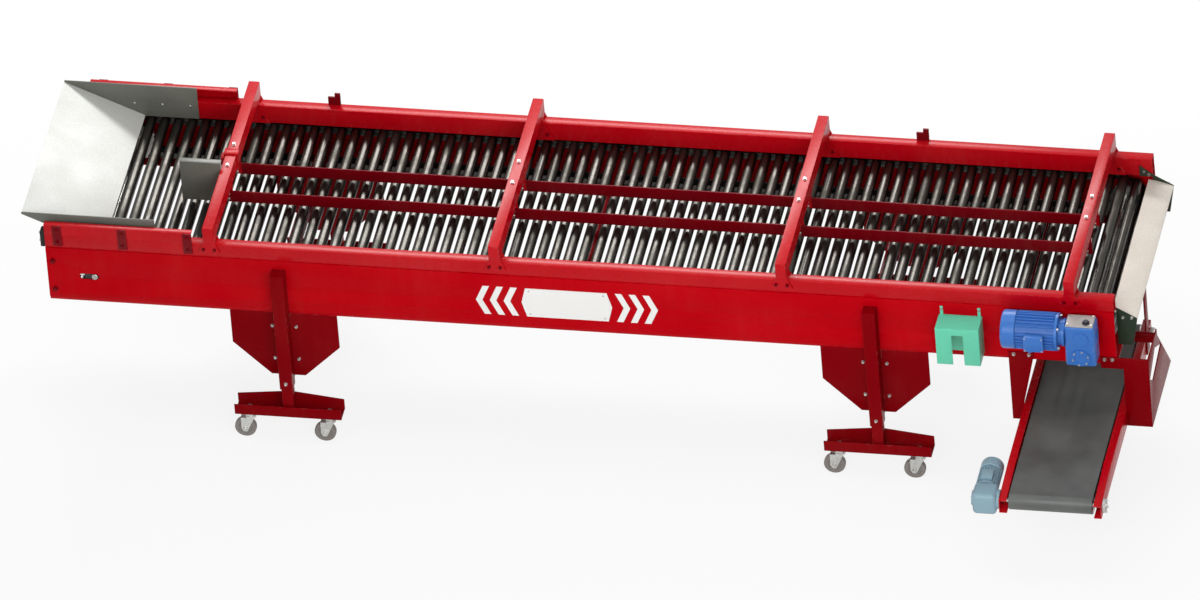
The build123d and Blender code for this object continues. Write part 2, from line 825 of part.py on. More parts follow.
# Main motor: finned body along X with a neck and flange, a fan cowl and a terminal box
motor_axis = Plane(origin=(gearbox_left, gearbox_y, worm_height), x_dir=(0, 1, 0), z_dir=(-1, 0, 0))
motor_radius = motor_diameter / 2
body_start = motor_neck_length + motor_flange_length
motor_steps = (
    (motor_neck_length, motor_radius - 2 * motor_fin),
    (motor_flange_length, motor_radius + motor_fin),
    (motor_length, motor_radius),
    (cowl_length, motor_radius + motor_fin),
    (cowl_cap_length, motor_radius),
)
with BuildPart() as main_motor:
    start = 0.0
    for length, radius in motor_steps:
        with BuildSketch(motor_axis.offset(start)):
            RegularPolygon(radius, motor_fin_count)
        extrude(amount=length)
        start += length
    with BuildSketch(motor_axis.offset(body_start)):
        with PolarLocations(motor_radius, motor_fin_count):
            Rectangle(2 * motor_fin, motor_fin_width)
    extrude(amount=motor_length)
    with BuildSketch(motor_axis.offset(body_start + motor_length / 2)):
        with Locations((-motor_radius - terminal_box_depth / 2, 0)):
            Rectangle(terminal_box_depth + 2 * motor_fin, terminal_box_height)
    extrude(amount=terminal_box_length / 2, both=True)
main_motor.part.label = "main_motor"
export_step(main_motor.part, "parts/main_motor.step")

# Hood: an open-bottomed sheet box hung on the front beam by two lugs, slotted up its front
hood_bottom = beam_top - hood_drop - hood_height
hood_top = hood_bottom + hood_height
hood_mid = discharge_x - hood_inset + hood_width / 2
hood_back = across(-1, half_width)
with BuildPart() as control_hood:
    with BuildSketch(Plane.XY.offset(hood_bottom)):
        with Locations((hood_mid, hood_back - hood_depth / 2)):
            Rectangle(hood_width, hood_depth)
            Rectangle(hood_width - 2 * hood_wall, hood_depth - 2 * hood_wall, mode=Mode.SUBTRACT)
    extrude(amount=hood_height - hood_wall)
    with BuildSketch(Plane.XY.offset(hood_top)):
        with Locations((hood_mid, hood_back - hood_depth / 2)):
            Rectangle(hood_width, hood_depth)
    extrude(amount=-hood_wall)
    with BuildSketch(front_view(hood_back - hood_depth + hood_wall)):
        with Locations((hood_mid, hood_bottom + hood_slot_height / 2)):
            Rectangle(hood_slot_width, hood_slot_height)
    extrude(amount=hood_wall, mode=Mode.SUBTRACT)
    with BuildSketch(front_view(hood_back)):
        with Locations((hood_mid, hood_top + hood_lug_height / 2)):
            with GridLocations(hood_width - 2 * hood_lug_width, 0, 2, 1):
                Rectangle(hood_lug_width, hood_lug_height)
    extrude(amount=hood_wall)
control_hood.part.label = "control_hood"
export_step(control_hood.part, "parts/control_hood.step")

# Leg posts: square tubes on the outside of the beams, closed above the inner post's stop
post_distance = half_width + post_size / 2
post_top = beam_top - post_top_drop
inner_top = post_bottom + post_grip + leg_travel
stop_height = inner_top + seat_gap
bore_size = post_size - 2 * post_wall
with BuildPart() as leg_posts:
    with BuildSketch(Plane.XY.offset(post_bottom)):
        for side in (-1, 1):
            with Locations(*[(x, across(side, post_distance)) for x in leg_x]):
                Rectangle(post_size, post_size)
    extrude(amount=post_top - post_bottom)
    with BuildSketch(Plane.XY.offset(post_bottom)):
        for side in (-1, 1):
            with Locations(*[(x, across(side, post_distance)) for x in leg_x]):
                Rectangle(bore_size, bore_size)
    extrude(amount=stop_height - post_bottom, mode=Mode.SUBTRACT)
leg_posts.part.label = "leg_posts"
export_step(leg_posts.part, "parts/leg_posts.step")

# Gussets: pentagon plates under the bottom flanges, packed out to the posts
gusset_face = half_width - beam_lip_depth
with BuildPart() as leg_gussets:
    for side in (-1, 1):
        with BuildSketch(front_view(across(side, gusset_face - gusset_thickness / 2))):
            for x in leg_x:
                Polygon(
                    (x - gusset_width / 2, beam_bottom),
                    (x - gusset_width / 2, beam_bottom - gusset_shoulder),
                    (x - gusset_toe / 2, beam_bottom - gusset_height),
                    (x + gusset_toe / 2, beam_bottom - gusset_height),
                    (x + gusset_width / 2, beam_bottom - gusset_shoulder),
                    (x + gusset_width / 2, beam_bottom),
                    align=None,
                )
        extrude(amount=gusset_thickness / 2, both=True)
        with BuildSketch(front_view(across(side, half_width - beam_lip_depth / 2))):
            for x in leg_x:
                with Locations((x, beam_bottom - gusset_height / 2)):
                    Rectangle(post_size, gusset_height)
        extrude(amount=beam_lip_depth / 2, both=True)
leg_gussets.part.label = "leg_gussets"
export_step(leg_gussets.part, "parts/leg_gussets.step")

# Lugs on the rear guard near the legs: a short ear beside a tall one
with BuildPart() as guard_lugs:
    with BuildSketch(front_view(across(1, guard_outer))):
        for x in leg_x:
            with Locations((x + lug_shift - lug_short[0] / 2, guard_top + lug_short[1] / 2)):
                Rectangle(*lug_short)
            with Locations((x + lug_shift + lug_tall[0] / 2, guard_top + lug_tall[1] / 2)):
                Rectangle(*lug_tall)
    extrude(amount=lug_thickness)
guard_lugs.part.label = "guard_lugs"
export_step(guard_lugs.part, "parts/guard_lugs.step")

# Feet: inner posts on open channels whose flange on the beam's side rises to a crest in the middle,
# with the casters' top plates under each end
foot_top = foot_bottom + foot_channel_height
leg_names = {
    (-1, 0): "front_infeed",
    (1, 0): "rear_infeed",
    (-1, 1): "front_discharge",
    (1, 1): "rear_discharge",
}
plate_bottom = foot_bottom - caster_plate[2]
wheel_axis = caster_wheel_diameter / 2
tread_turn = 180.0 / tread_facets
crown_bottom = caster_wheel_diameter + fork_crown_gap
fork_half = caster_wheel_width / 2 + caster_side_gap
for (side, end), leg_name in leg_names.items():
    x = leg_x[end]
    y = across(side, post_distance)
    with BuildPart() as foot:
        with BuildSketch(Plane.XY.offset(foot_bottom)):
            with Locations((x, y)):
                Rectangle(foot_length, foot_channel_depth)
        extrude(amount=foot_channel_height)
        with BuildSketch(Plane.XY.offset(foot_bottom + foot_wall)):
            with Locations((x, y)):
                Rectangle(foot_length, foot_channel_depth - 2 * foot_wall)
        extrude(amount=foot_channel_height, mode=Mode.SUBTRACT)
        with BuildSketch(front_view(y - side * (foot_channel_depth - foot_wall) / 2)):
            Polygon(
                (x - foot_length / 2, foot_top),
                (x + foot_length / 2, foot_top),
                (x, foot_top + foot_crest),
                align=None,
            )
        extrude(amount=foot_wall / 2, both=True)
        with BuildSketch(Plane.XY.offset(foot_bottom + foot_wall)):
            with Locations((x, y)):
                Rectangle(inner_post_size, inner_post_size)
                Rectangle(
                    inner_post_size - 2 * inner_post_wall,
                    inner_post_size - 2 * inner_post_wall,
                    mode=Mode.SUBTRACT,
                )
        extrude(amount=inner_top - foot_bottom - foot_wall)
        with BuildSketch(Plane.XY.offset(plate_bottom)):
            with Locations((x, y)):
                with GridLocations(caster_spread, 0, 2, 1):
                    Rectangle(caster_plate[0], caster_plate[1])
        extrude(amount=caster_plate[2])
    foot.part.label = f"{leg_name}_foot"
    export_step(foot.part, f"parts/{leg_name}_foot.step")

    for hand, offset in (("left", -caster_spread / 2), ("right", caster_spread / 2)):
        pivot_x = x + offset
        axle_x = pivot_x - caster_trail
        with BuildPart() as fork:
            with BuildSketch(Plane.XY.offset(crown_bottom)):
                with Locations((pivot_x, y)):
                    RegularPolygon(swivel_diameter / 2, swivel_facets)
            extrude(amount=plate_bottom - seat_gap - crown_bottom)
            with BuildSketch(Plane.XY.offset(crown_bottom)):
                with Locations(((pivot_x + axle_x) / 2, y)):
                    Rectangle(caster_trail + fork_leg_width, 2 * (fork_half + fork_wall))
            extrude(amount=fork_wall)
            for cheek in (-1, 1):
                with BuildSketch(front_view(y + cheek * (fork_half + fork_wall / 2))):
                    Polygon(
                        (axle_x - fork_leg_width / 2, crown_bottom),
                        (pivot_x + fork_leg_width / 2, crown_bottom),
                        (axle_x + fork_leg_width / 2, wheel_axis),
                        (axle_x + fork_leg_width / 4, wheel_axis - fork_leg_width / 2),
                        (axle_x - fork_leg_width / 4, wheel_axis - fork_leg_width / 2),
                        (axle_x - fork_leg_width / 2, wheel_axis),
                        align=None,
                    )
                extrude(amount=fork_wall / 2, both=True)
            with BuildSketch(front_view(y)):
                with Locations((axle_x, wheel_axis)):
                    RegularPolygon(caster_axle_diameter / 2, swivel_facets)
            extrude(amount=fork_half, both=True)
        fork.part.label = f"{leg_name}_{hand}_fork"
        export_step(fork.part, f"parts/{leg_name}_{hand}_fork.step")

        with BuildPart() as wheel:
            with BuildSketch(front_view(y)):
                with Locations((axle_x, wheel_axis)):
                    RegularPolygon(wheel_axis, tread_facets, major_radius=False, rotation=tread_turn)
                    bore(caster_axle_diameter / 2 + running_gap, swivel_facets)
            extrude(amount=caster_wheel_width / 2, both=True)
        wheel.part.label = f"{leg_name}_{hand}_wheel"
        export_step(wheel.part, f"parts/{leg_name}_{hand}_wheel.step")

# Cross conveyor rails: two channels with sloping noses, tied by spacers between the belt runs
cross_front = across(-1, half_width + cross_overhang)
cross_rear = across(1, cross_rear_reach)
cross_length = cross_rear - cross_front
rail_out = cross_width / 2
drum_axis = rail_top - belt_sink - belt_thickness - seat_gap - drum_diameter / 2
drive_drum_y = cross_front + drum_inset
tail_drum_y = cross_rear - drum_inset
rail_outline = [
    (rail_out, rail_bottom),
    (rail_out, rail_top),
    (rail_out - rail_flange, rail_top),
    (rail_out - rail_flange, rail_top - rail_wall),
    (rail_out - rail_wall, rail_top - rail_wall),
    (rail_out - rail_wall, rail_bottom + rail_wall),
    (rail_out - rail_flange, rail_bottom + rail_wall),
    (rail_out - rail_flange, rail_bottom),
]
nose_rear = cross_front + rail_nose_length
nose_top = rail_top - rail_nose_drop


def nose_strip(front_z, rear_z):
    """Edge view of a strip along a rail's nose, with its upper side at these heights."""
    Polygon(
        (cross_front, front_z - rail_wall),
        (nose_rear, rear_z - rail_wall),
        (nose_rear, rear_z),
        (cross_front, front_z),
        align=None,
    )


with BuildPart() as cross_rails:
    with BuildSketch(front_view(cross_rear)):
        for hand in (-1, 1):
            Polygon(*[(cross_mid + hand * w, z) for w, z in rail_outline], align=None)
    extrude(amount=cross_length - rail_nose_length)
    for hand in (-1, 1):
        with BuildSketch(Plane.YZ.offset(cross_mid + hand * rail_out)):
            Polygon(
                (cross_front, rail_bottom),
                (nose_rear, rail_bottom),
                (nose_rear, rail_top),
                (cross_front, nose_top),
                align=None,
            )
        extrude(amount=-hand * rail_wall)
        with BuildSketch(Plane.YZ.offset(cross_mid + hand * rail_out)):
            nose_strip(nose_top, rail_top)
            nose_strip(rail_bottom + rail_wall, rail_bottom + rail_wall)
        extrude(amount=-hand * rail_flange)
    with BuildSketch(Plane.YZ.offset(cross_mid)):
        for share in spacer_shares:
            with Locations((cross_front + share * cross_length, drum_axis)):
                Rectangle(spacer_size, spacer_size)
    extrude(amount=rail_out - rail_wall, both=True)
    with BuildSketch(Plane.YZ.offset(cross_mid - rail_out)):
        for y in (drive_drum_y, tail_drum_y):
            with Locations((y, drum_axis)):
                RegularPolygon(drum_shaft_diameter / 2 + shaft_hole_gap, shaft_facets, major_radius=False)
    extrude(amount=cross_width, mode=Mode.SUBTRACT)
cross_rails.part.label = "cross_rails"
export_step(cross_rails.part, "parts/cross_rails.step")

# Belt: one flat loop round both drums
belt_inner = drum_diameter / 2 + seat_gap
with BuildPart() as cross_belt:
    with BuildSketch(Plane.YZ.offset(cross_mid)):
        with Locations(((drive_drum_y + tail_drum_y) / 2, drum_axis)):
            SlotCenterToCenter(tail_drum_y - drive_drum_y, 2 * (belt_inner + belt_thickness))
            SlotCenterToCenter(tail_drum_y - drive_drum_y, 2 * belt_inner, mode=Mode.SUBTRACT)
    extrude(amount=belt_width / 2, both=True)
cross_belt.part.label = "cross_belt"
export_step(cross_belt.part, "parts/cross_belt.step")

# Drums on through shafts; the drive drum's shaft reaches into the gearbox on the left rail
gearbox_end = rail_out + cross_gearbox_width


def drum_on_shaft(y, left_end, right_end):
    """Drum with its shaft, whose ends lie at these distances left and right of the belt's middle."""
    with BuildPart() as drum:
        with BuildSketch(Plane.YZ.offset(cross_mid)):
            with Locations((y, drum_axis)):
                RegularPolygon(drum_diameter / 2, drum_facets)
        extrude(amount=belt_width / 2, both=True)
        with BuildSketch(Plane.YZ.offset(cross_mid - left_end)):
            with Locations((y, drum_axis)):
                RegularPolygon(drum_shaft_diameter / 2, shaft_facets)
        extrude(amount=left_end + right_end)
    return drum


bearing_end = rail_out + drum_bearing_thickness
cross_drive_drum = drum_on_shaft(drive_drum_y, gearbox_end, bearing_end)
cross_drive_drum.part.label = "cross_drive_drum"
export_step(cross_drive_drum.part, "parts/cross_drive_drum.step")

cross_tail_drum = drum_on_shaft(tail_drum_y, bearing_end, bearing_end)
cross_tail_drum.part.label = "cross_tail_drum"
export_step(cross_tail_drum.part, "parts/cross_tail_drum.step")

# Drum bearings on the outside of the rails; the gearbox takes the fourth place
with BuildPart() as cross_bearings:
    for hand, y in ((1, drive_drum_y), (1, tail_drum_y), (-1, tail_drum_y)):
        with BuildSketch(Plane.YZ.offset(cross_mid + hand * (rail_out + drum_bearing_thickness / 2))):
            with Locations((y, drum_axis)):
                RegularPolygon(drum_bearing_size / 2, housing_facets, False, housing_turn)
                bore(drum_shaft_diameter / 2 + running_gap, shaft_facets)
        extrude(amount=drum_bearing_thickness / 2, both=True)
cross_bearings.part.label = "cross_bearings"
export_step(cross_bearings.part, "parts/cross_bearings.step")

# Cross gearmotor: a worm gearbox on the left rail with its motor lying back along the rail
cross_gearbox_left = cross_mid - rail_out - cross_gearbox_width
cross_motor_radius = cross_motor_diameter / 2
cross_motor_steps = (
    (cross_motor_length, cross_motor_radius - cross_fin),
    (cross_cowl_length, cross_motor_radius),
    (cross_cap_length, cross_motor_radius - cross_fin),
)
with BuildPart() as cross_gearmotor:
    with BuildSketch(Plane.YZ.offset(cross_gearbox_left)):
        with Locations((drive_drum_y, drum_axis)):
            RegularPolygon(cross_gearbox_size / 2, housing_facets, False, housing_turn)
            bore(drum_shaft_diameter / 2 + running_gap, shaft_facets)
    extrude(amount=cross_gearbox_width)
    cross_motor_axis = Plane(
        origin=(
            cross_gearbox_left + cross_motor_radius,
            drive_drum_y + cross_gearbox_size / 2,
            drum_axis,
        ),
        x_dir=(1, 0, 0),
        z_dir=(0, 1, 0),
    )
    start = 0.0
    for length, radius in cross_motor_steps:
        with BuildSketch(cross_motor_axis.offset(start)):
            RegularPolygon(radius, cross_fin_count)
        extrude(amount=length)
        start += length
    with BuildSketch(cross_motor_axis):
        with PolarLocations(cross_motor_radius - cross_fin, cross_fin_count):
            Rectangle(2 * cross_fin, cross_fin_width)
    extrude(amount=cross_motor_length)
cross_gearmotor.part.label = "cross_gearmotor"
export_step(cross_gearmotor.part, "parts/cross_gearmotor.step")

# Conveyor hangers: two plates on the front beam, and straps from the ties to the rails' rear ends
hanger_left = rail_left - left_hanger_foot
hanger_top = beam_bottom + hanger_lap
strap_top = flat_tie_z + hanger_plate / 2
strap_rear = tail_drum_y - drum_bearing_size / 2 - rear_strap_gap
with BuildPart() as conveyor_hangers:
    with BuildSketch(front_view(across(-1, half_width))):
        Polygon(
            (hanger_left, hanger_top),
            (hanger_left + left_hanger_top, hanger_top),
            (rail_left, rail_top),
            (rail_left, rail_bottom),
            (hanger_left, rail_bottom),
            align=None,
        )
        Polygon(
            (discharge_x - arm_lap, hanger_top),
            (discharge_x - arm_lap, hanger_top - arm_height),
            (rail_right, hanger_top - arm_height),
            (rail_right, rail_bottom),
            (rail_right + right_hanger_width, rail_bottom),
            (rail_right + right_hanger_width, hanger_top),
            align=None,
        )
    extrude(amount=hanger_plate)
    with BuildSketch(front_view(strap_rear)):
        Polygon(
            (rail_left - hanger_plate, rail_bottom),
            (rail_left, rail_bottom),
            (rail_left, flange_top),
            (rail_left - hanger_plate, flange_top),
            align=None,
        )
        Polygon(
            (rail_right, rail_bottom),
            (rail_right + hanger_plate, rail_bottom),
            (rail_right + hanger_plate, strap_top),
            (discharge_x, strap_top),
            (discharge_x, strap_top - hanger_plate),
            (rail_right, strap_top - hanger_plate),
            align=None,
        )
    extrude(amount=rear_strap_width)
conveyor_hangers.part.label = "conveyor_hangers"
export_step(conveyor_hangers.part, "parts/conveyor_hangers.step")

# Catch plate: a windowed cheek beside the belt, held at the front hanger and by a bar to the end tie
catch_front = across(-1, half_width + hanger_plate)
catch_top = hanger_top
catch_bar_y = catch_front + catch_shoulder - catch_bar_size / 2
with BuildPart() as catch_plate:
    with BuildSketch(Plane.YZ.offset(rail_right + right_hanger_width)):
        Polygon(
            (catch_front, rail_bottom),
            (catch_front + catch_reach, rail_bottom),
            (catch_front + catch_shoulder, catch_top - catch_bar_size),
            (catch_front + catch_shoulder, catch_top),
            (catch_front, catch_top),
            align=None,
        )
        window = [(catch_front + y, rail_bottom + z) for y, z in catch_window]
        Polygon(*window, align=None, mode=Mode.SUBTRACT)
    extrude(amount=hanger_plate)
    with BuildSketch(Plane.YZ.offset(discharge_x)):
        with Locations((catch_bar_y, flat_tie_z)):
            Rectangle(catch_bar_size, catch_bar_size)
    extrude(amount=rail_right + right_hanger_width - discharge_x)
catch_plate.part.label = "catch_plate"
export_step(catch_plate.part, "parts/catch_plate.step")
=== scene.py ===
import json
from math import atan2, cos, pi, radians, sin, sqrt

import bmesh
import bpy
from mathutils import Matrix, Vector


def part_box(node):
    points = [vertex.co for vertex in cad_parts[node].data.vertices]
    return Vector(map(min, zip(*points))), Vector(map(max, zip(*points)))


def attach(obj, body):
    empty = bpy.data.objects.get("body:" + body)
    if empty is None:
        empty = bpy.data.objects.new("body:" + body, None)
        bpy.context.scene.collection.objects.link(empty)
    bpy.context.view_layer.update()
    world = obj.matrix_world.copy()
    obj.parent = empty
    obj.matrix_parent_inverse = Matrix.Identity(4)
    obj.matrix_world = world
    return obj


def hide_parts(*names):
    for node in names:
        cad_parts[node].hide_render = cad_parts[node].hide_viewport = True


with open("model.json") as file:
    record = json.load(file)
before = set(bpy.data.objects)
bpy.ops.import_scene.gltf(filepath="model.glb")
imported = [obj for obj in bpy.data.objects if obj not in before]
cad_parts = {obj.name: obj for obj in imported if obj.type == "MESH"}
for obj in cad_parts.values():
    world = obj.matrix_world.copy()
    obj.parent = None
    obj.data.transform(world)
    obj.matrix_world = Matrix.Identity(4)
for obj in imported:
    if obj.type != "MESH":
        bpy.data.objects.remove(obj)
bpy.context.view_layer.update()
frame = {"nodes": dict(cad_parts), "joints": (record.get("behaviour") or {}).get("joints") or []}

# Side beams: two deep sections folded from 5 mm sheet, with a slanted lip along the bottom edge.
# They are sprayed in gloss red, thinner on the folded edges, where the paint chips first.
# Dust lies thinly on the paint and has run down it a little.
FRONT, REAR = -1, 1
SIDES = (FRONT, REAR)
front_low, front_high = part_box("front_side_beam")
rear_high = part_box("rear_side_beam")[1]
INFEED_X, DISCHARGE_X = front_low.x, front_high.x
BEAM_BOTTOM = front_low.z
OUTER_FACE = {FRONT: front_low.y, REAR: rear_high.y}
DECK_Y = (front_low.y + rear_high.y) / 2


def shader_node(tree, kind, inputs=(), **settings):
    """One node in a shader tree; its inputs are values or other nodes' outputs."""
    node = tree.nodes.new(kind)
    for name, value in settings.items():
        setattr(node, name, value)
    for name, value in dict(inputs).items():
        if isinstance(value, bpy.types.NodeSocket):
            tree.links.new(value, node.inputs[name])
        else:
            node.inputs[name].default_value = value
    return node


def effect_group(name, inputs, outputs):
    """An empty node group with these sockets, and its two end nodes."""
    tree = bpy.data.node_groups.new(name, "ShaderNodeTree")
    for label, kind, value in inputs:
        tree.interface.new_socket(label, in_out="INPUT", socket_type=kind).default_value = value
    for label, kind in outputs:
        tree.interface.new_socket(label, in_out="OUTPUT", socket_type=kind)
    return tree, tree.nodes.new("NodeGroupInput").outputs, tree.nodes.new("NodeGroupOutput").inputs


def noise(tree, place, scale, detail=5.0):
    """Cloudy noise at this many lumps to the metre."""
    inputs = {"Vector": place, "Scale": scale, "Detail": detail}
    return shader_node(tree, "ShaderNodeTexNoise", inputs).outputs["Fac"]


def stretched(tree, place, scale):
    """Coordinates drawn out by a different factor along each axis."""
    return shader_node(tree, "ShaderNodeMapping", {"Vector": place, "Scale": scale}).outputs[0]


def share(tree, value, low, high, start=0.0, end=1.0):
    """Stretches the part of a value between low and high to the range from start to end."""
    limits = {"Value": value, "From Min": low, "From Max": high, "To Min": start, "To Max": end}
    return shader_node(tree, "ShaderNodeMapRange", limits).outputs["Result"]


MIX_FACTOR, MIX_FIRST, MIX_SECOND, MIX_RESULT = 0, 6, 7, 2


def blended(tree, factor, first, second):
    """Mixes two colours, by the colour sockets of a mix node."""
    inputs = {MIX_FACTOR: factor, MIX_FIRST: first, MIX_SECOND: second}
    return shader_node(tree, "ShaderNodeMix", inputs, data_type="RGBA").outputs[MIX_RESULT]


def toned(tree, colour, value):
    """A colour made lighter or darker."""
    return shader_node(tree, "ShaderNodeHueSaturation", {"Color": colour, "Value": value}).outputs["Color"]


def joined(tree, operation, first, *others):
    """Joins values by one sum, such as MULTIPLY or ADD."""
    for other in others:
        first = shader_node(tree, "ShaderNodeMath", {0: first, 1: other}, operation=operation).outputs[0]
    return first


COLOUR, NUMBER = "NodeSocketColor", "NodeSocketFloat"
SKIN_OUTPUTS = [("Color", COLOUR), ("Roughness", NUMBER), ("Height", NUMBER)]
CHIPPED = (0.42, 0.34, 0.32, 1)
BUMP_DEPTH = 0.001

skin, given, made = effect_group(
    "paint_skin",
    [
        ("Paint", COLOUR, (0.5, 0.5, 0.5, 1)),
        ("Dust", COLOUR, (0.4, 0.3, 0.25, 1)),
        ("Dust Amount", NUMBER, 0.2),
        ("Edge Wear", NUMBER, 0.3),
        ("Gloss", NUMBER, 0.25),
    ],
    SKIN_OUTPUTS,
)
place = shader_node(skin, "ShaderNodeTexCoord").outputs["Object"]
cloud = noise(skin, place, scale=2.3, detail=6.0)
runs = noise(skin, stretched(skin, place, (17.0, 17.0, 1.4)), scale=1.3, detail=4.0)
speck = noise(skin, place, scale=34.0, detail=6.0)
film = joined(
    skin,
    "MULTIPLY",
    share(skin, cloud, low=0.42, high=0.72),
    share(skin, runs, low=0.35, high=0.75, start=0.25),
    given["Dust Amount"],
)
edge = shader_node(skin, "ShaderNodeAttribute", attribute_name="edge").outputs["Fac"]
chips = joined(
    skin,
    "MULTIPLY",
    edge,
    share(skin, speck, low=0.5, high=0.6),
    share(skin, noise(skin, place, scale=5.0), low=0.46, high=0.6),
    given["Edge Wear"],
)
shaded = toned(skin, given["Paint"], share(skin, cloud, low=0.25, high=0.75, start=0.93, end=1.05))
paint = blended(skin, chips, shaded, CHIPPED)
skin.links.new(blended(skin, film, paint, given["Dust"]), made["Color"])
dull = share(skin, film, low=0.0, high=0.5, end=0.3)
grit = share(skin, speck, low=0.35, high=0.75, end=0.06)
skin.links.new(joined(skin, "ADD", given["Gloss"], dull, grit), made["Roughness"])
skin.links.new(noise(skin, place, scale=310.0, detail=2.0), made["Height"])
paint_skin = skin


def material_with(name, group, values, plain, bump):
    """A material whose group gives colour, roughness and bump; plain values go on the shader itself."""
    finish = bpy.data.materials.new(name)
    finish.use_nodes = True
    tree = finish.node_tree
    shader = tree.nodes["Principled BSDF"]
    surface = shader_node(tree, "ShaderNodeGroup", node_tree=group)
    for label, value in values.items():
        surface.inputs[label].default_value = value
    tree.links.new(surface.outputs["Color"], shader.inputs["Base Color"])
    tree.links.new(surface.outputs["Roughness"], shader.inputs["Roughness"])
    relief = {"Strength": bump, "Distance": BUMP_DEPTH, "Height": surface.outputs["Height"]}
    tree.links.new(shader_node(tree, "ShaderNodeBump", relief).outputs["Normal"], shader.inputs["Normal"])
    for label, value in plain.items():
        shader.inputs[label].default_value = value
    return finish


def gloss_paint(name, colour, dust=(0.36, 0.27, 0.22), amount=0.05, wear=0.12, gloss=0.24, shine=0.08):
    """Sprayed gloss paint of one colour with a thin film of dust."""
    values = {
        "Paint": (*colour, 1),
        "Dust": (*dust, 1),
        "Dust Amount": amount,
        "Edge Wear": wear,
        "Gloss": gloss,
    }
    return material_with(name, paint_skin, values, {"Specular IOR Level": shine}, bump=0.05)


def new_piece():
    """An empty mesh that can mark its rounded edges."""
    bm = bmesh.new()
    bm.faces.layers.float.new("edge")
    return bm


def rounded(bm, edges, radius, segments=2):
    """Rounds these edges and marks the rounding, where paint wears first."""
    mark = bm.faces.layers.float["edge"]
    rounding = bmesh.ops.bevel(
        bm,
        geom=edges,
        offset=radius,
        segments=segments,
        profile=0.5,
        affect="EDGES",
        material=-1,
        clamp_overlap=True,
    )
    for face in rounding["faces"]:
        face[mark] = 1.0


CREASE_ANGLE = 34.0


def settle(bm, name, body, finish, slot, *nodes):
    """Turns a mesh under way into a piece of the table that rides on a body and stands for its nodes."""
    mesh = bpy.data.meshes.new(name)
    bm.to_mesh(mesh)
    bm.free()
    mesh.shade_smooth()
    mesh.set_sharp_from_angle(angle=radians(CREASE_ANGLE))
    mesh.materials.append(finish)
    piece = bpy.data.objects.new(name, mesh)
    bpy.context.scene.collection.objects.link(piece)
    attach(piece, body)
    if nodes:
        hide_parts(*nodes)


MERGE_GAP, FLAT_ANGLE = 0.00002, 0.5


def fabricated(node, body, finish, slot, rounding, sharp=28.0, segments=2):
    """A welded or folded piece: the node's own shape with its edges rounded."""
    bm = new_piece()
    bm.from_mesh(frame["nodes"][node].data)
    bmesh.ops.remove_doubles(bm, verts=bm.verts, dist=MERGE_GAP)
    bmesh.ops.dissolve_limit(bm, angle_limit=radians(FLAT_ANGLE), verts=bm.verts, edges=bm.edges)
    corners = [e for e in bm.edges if e.is_manifold and e.calc_face_angle() > radians(sharp)]
    rounded(bm, corners, rounding, segments)
    settle(bm, node + "_made", body, finish, slot, node)


table_red = gloss_paint("table_red", (0.47, 0.0004, 0.006), shine=0.13)
beam_red = gloss_paint("beam_red", (0.47, 0.0002, 0.005), amount=0.03, shine=0.02)
for beam in ("front_side_beam", "rear_side_beam"):
    fabricated(beam, "frame", beam_red, "machine_red", rounding=0.0016)

# Chain guides: angle irons bolted inside the beams, on which the link plates slide.
# They are left as plain drawn steel, streaked along their length and darkened by old oil.
skin, given, made = effect_group(
    "steel_skin",
    [
        ("Steel", COLOUR, (0.5, 0.5, 0.5, 1)),
        ("Tarnish", COLOUR, (0.2, 0.17, 0.13, 1)),
        ("Tarnish Amount", NUMBER, 0.3),
        ("Gloss", NUMBER, 0.25),
        ("Streak", "NodeSocketVector", (60.0, 1.5, 60.0)),
    ],
    SKIN_OUTPUTS,
)
place = shader_node(skin, "ShaderNodeTexCoord").outputs["Object"]
streak = noise(skin, stretched(skin, place, given["Streak"]), scale=4.0)
blotch = share(skin, noise(skin, place, scale=7.0, detail=6.0), low=0.45, high=0.7)
stain = joined(skin, "MULTIPLY", blotch, given["Tarnish Amount"])
bright = toned(skin, given["Steel"], share(skin, streak, low=0.3, high=0.7, start=0.82, end=1.12))
skin.links.new(blended(skin, stain, bright, given["Tarnish"]), made["Color"])
drawn = share(skin, streak, low=0.3, high=0.7, end=0.12)
dull = share(skin, stain, low=0.0, high=1.0, end=0.4)
skin.links.new(joined(skin, "ADD", given["Gloss"], drawn, dull), made["Roughness"])
skin.links.new(streak, made["Height"])
steel_skin = skin
STREAKS_ALONG_X = (1.5, 60.0, 60.0)
STREAKS_ALONG_Y = (60.0, 1.5, 60.0)
STREAKS_NOWHERE = (20.0, 20.0, 20.0)


def bare_steel(name, colour, streak, tarnish=(0.16, 0.13, 0.1), amount=0.35, gloss=0.25):
    """Unpainted steel with streaks along its working direction."""
    values = {
        "Steel": (*colour, 1),
        "Tarnish": (*tarnish, 1),
        "Tarnish Amount": amount,
        "Gloss": gloss,
        "Streak": streak,
    }
    return material_with(name, steel_skin, values, {"Metallic": 1.0}, bump=0.06)


guide_steel = bare_steel("guide_steel", (0.14, 0.135, 0.13), STREAKS_ALONG_X, gloss=0.35)
fabricated("chain_guides", "frame", guide_steel, "plain_steel", rounding=0.001)

# Deck and return rollers: drawn steel tubes with pressed-in end caps, one at every chain pitch.
# Each turns on a rod whose ends carry the link plates of the two chains.
pivots = {joint["name"]: Vector(joint["pos_m"]) for joint in frame["joints"] if "pos_m" in joint}
TAIL_X, HEAD_X, SHAFT_Z = pivots["tail_turn"].x, pivots["head_turn"].x, pivots["head_turn"].z
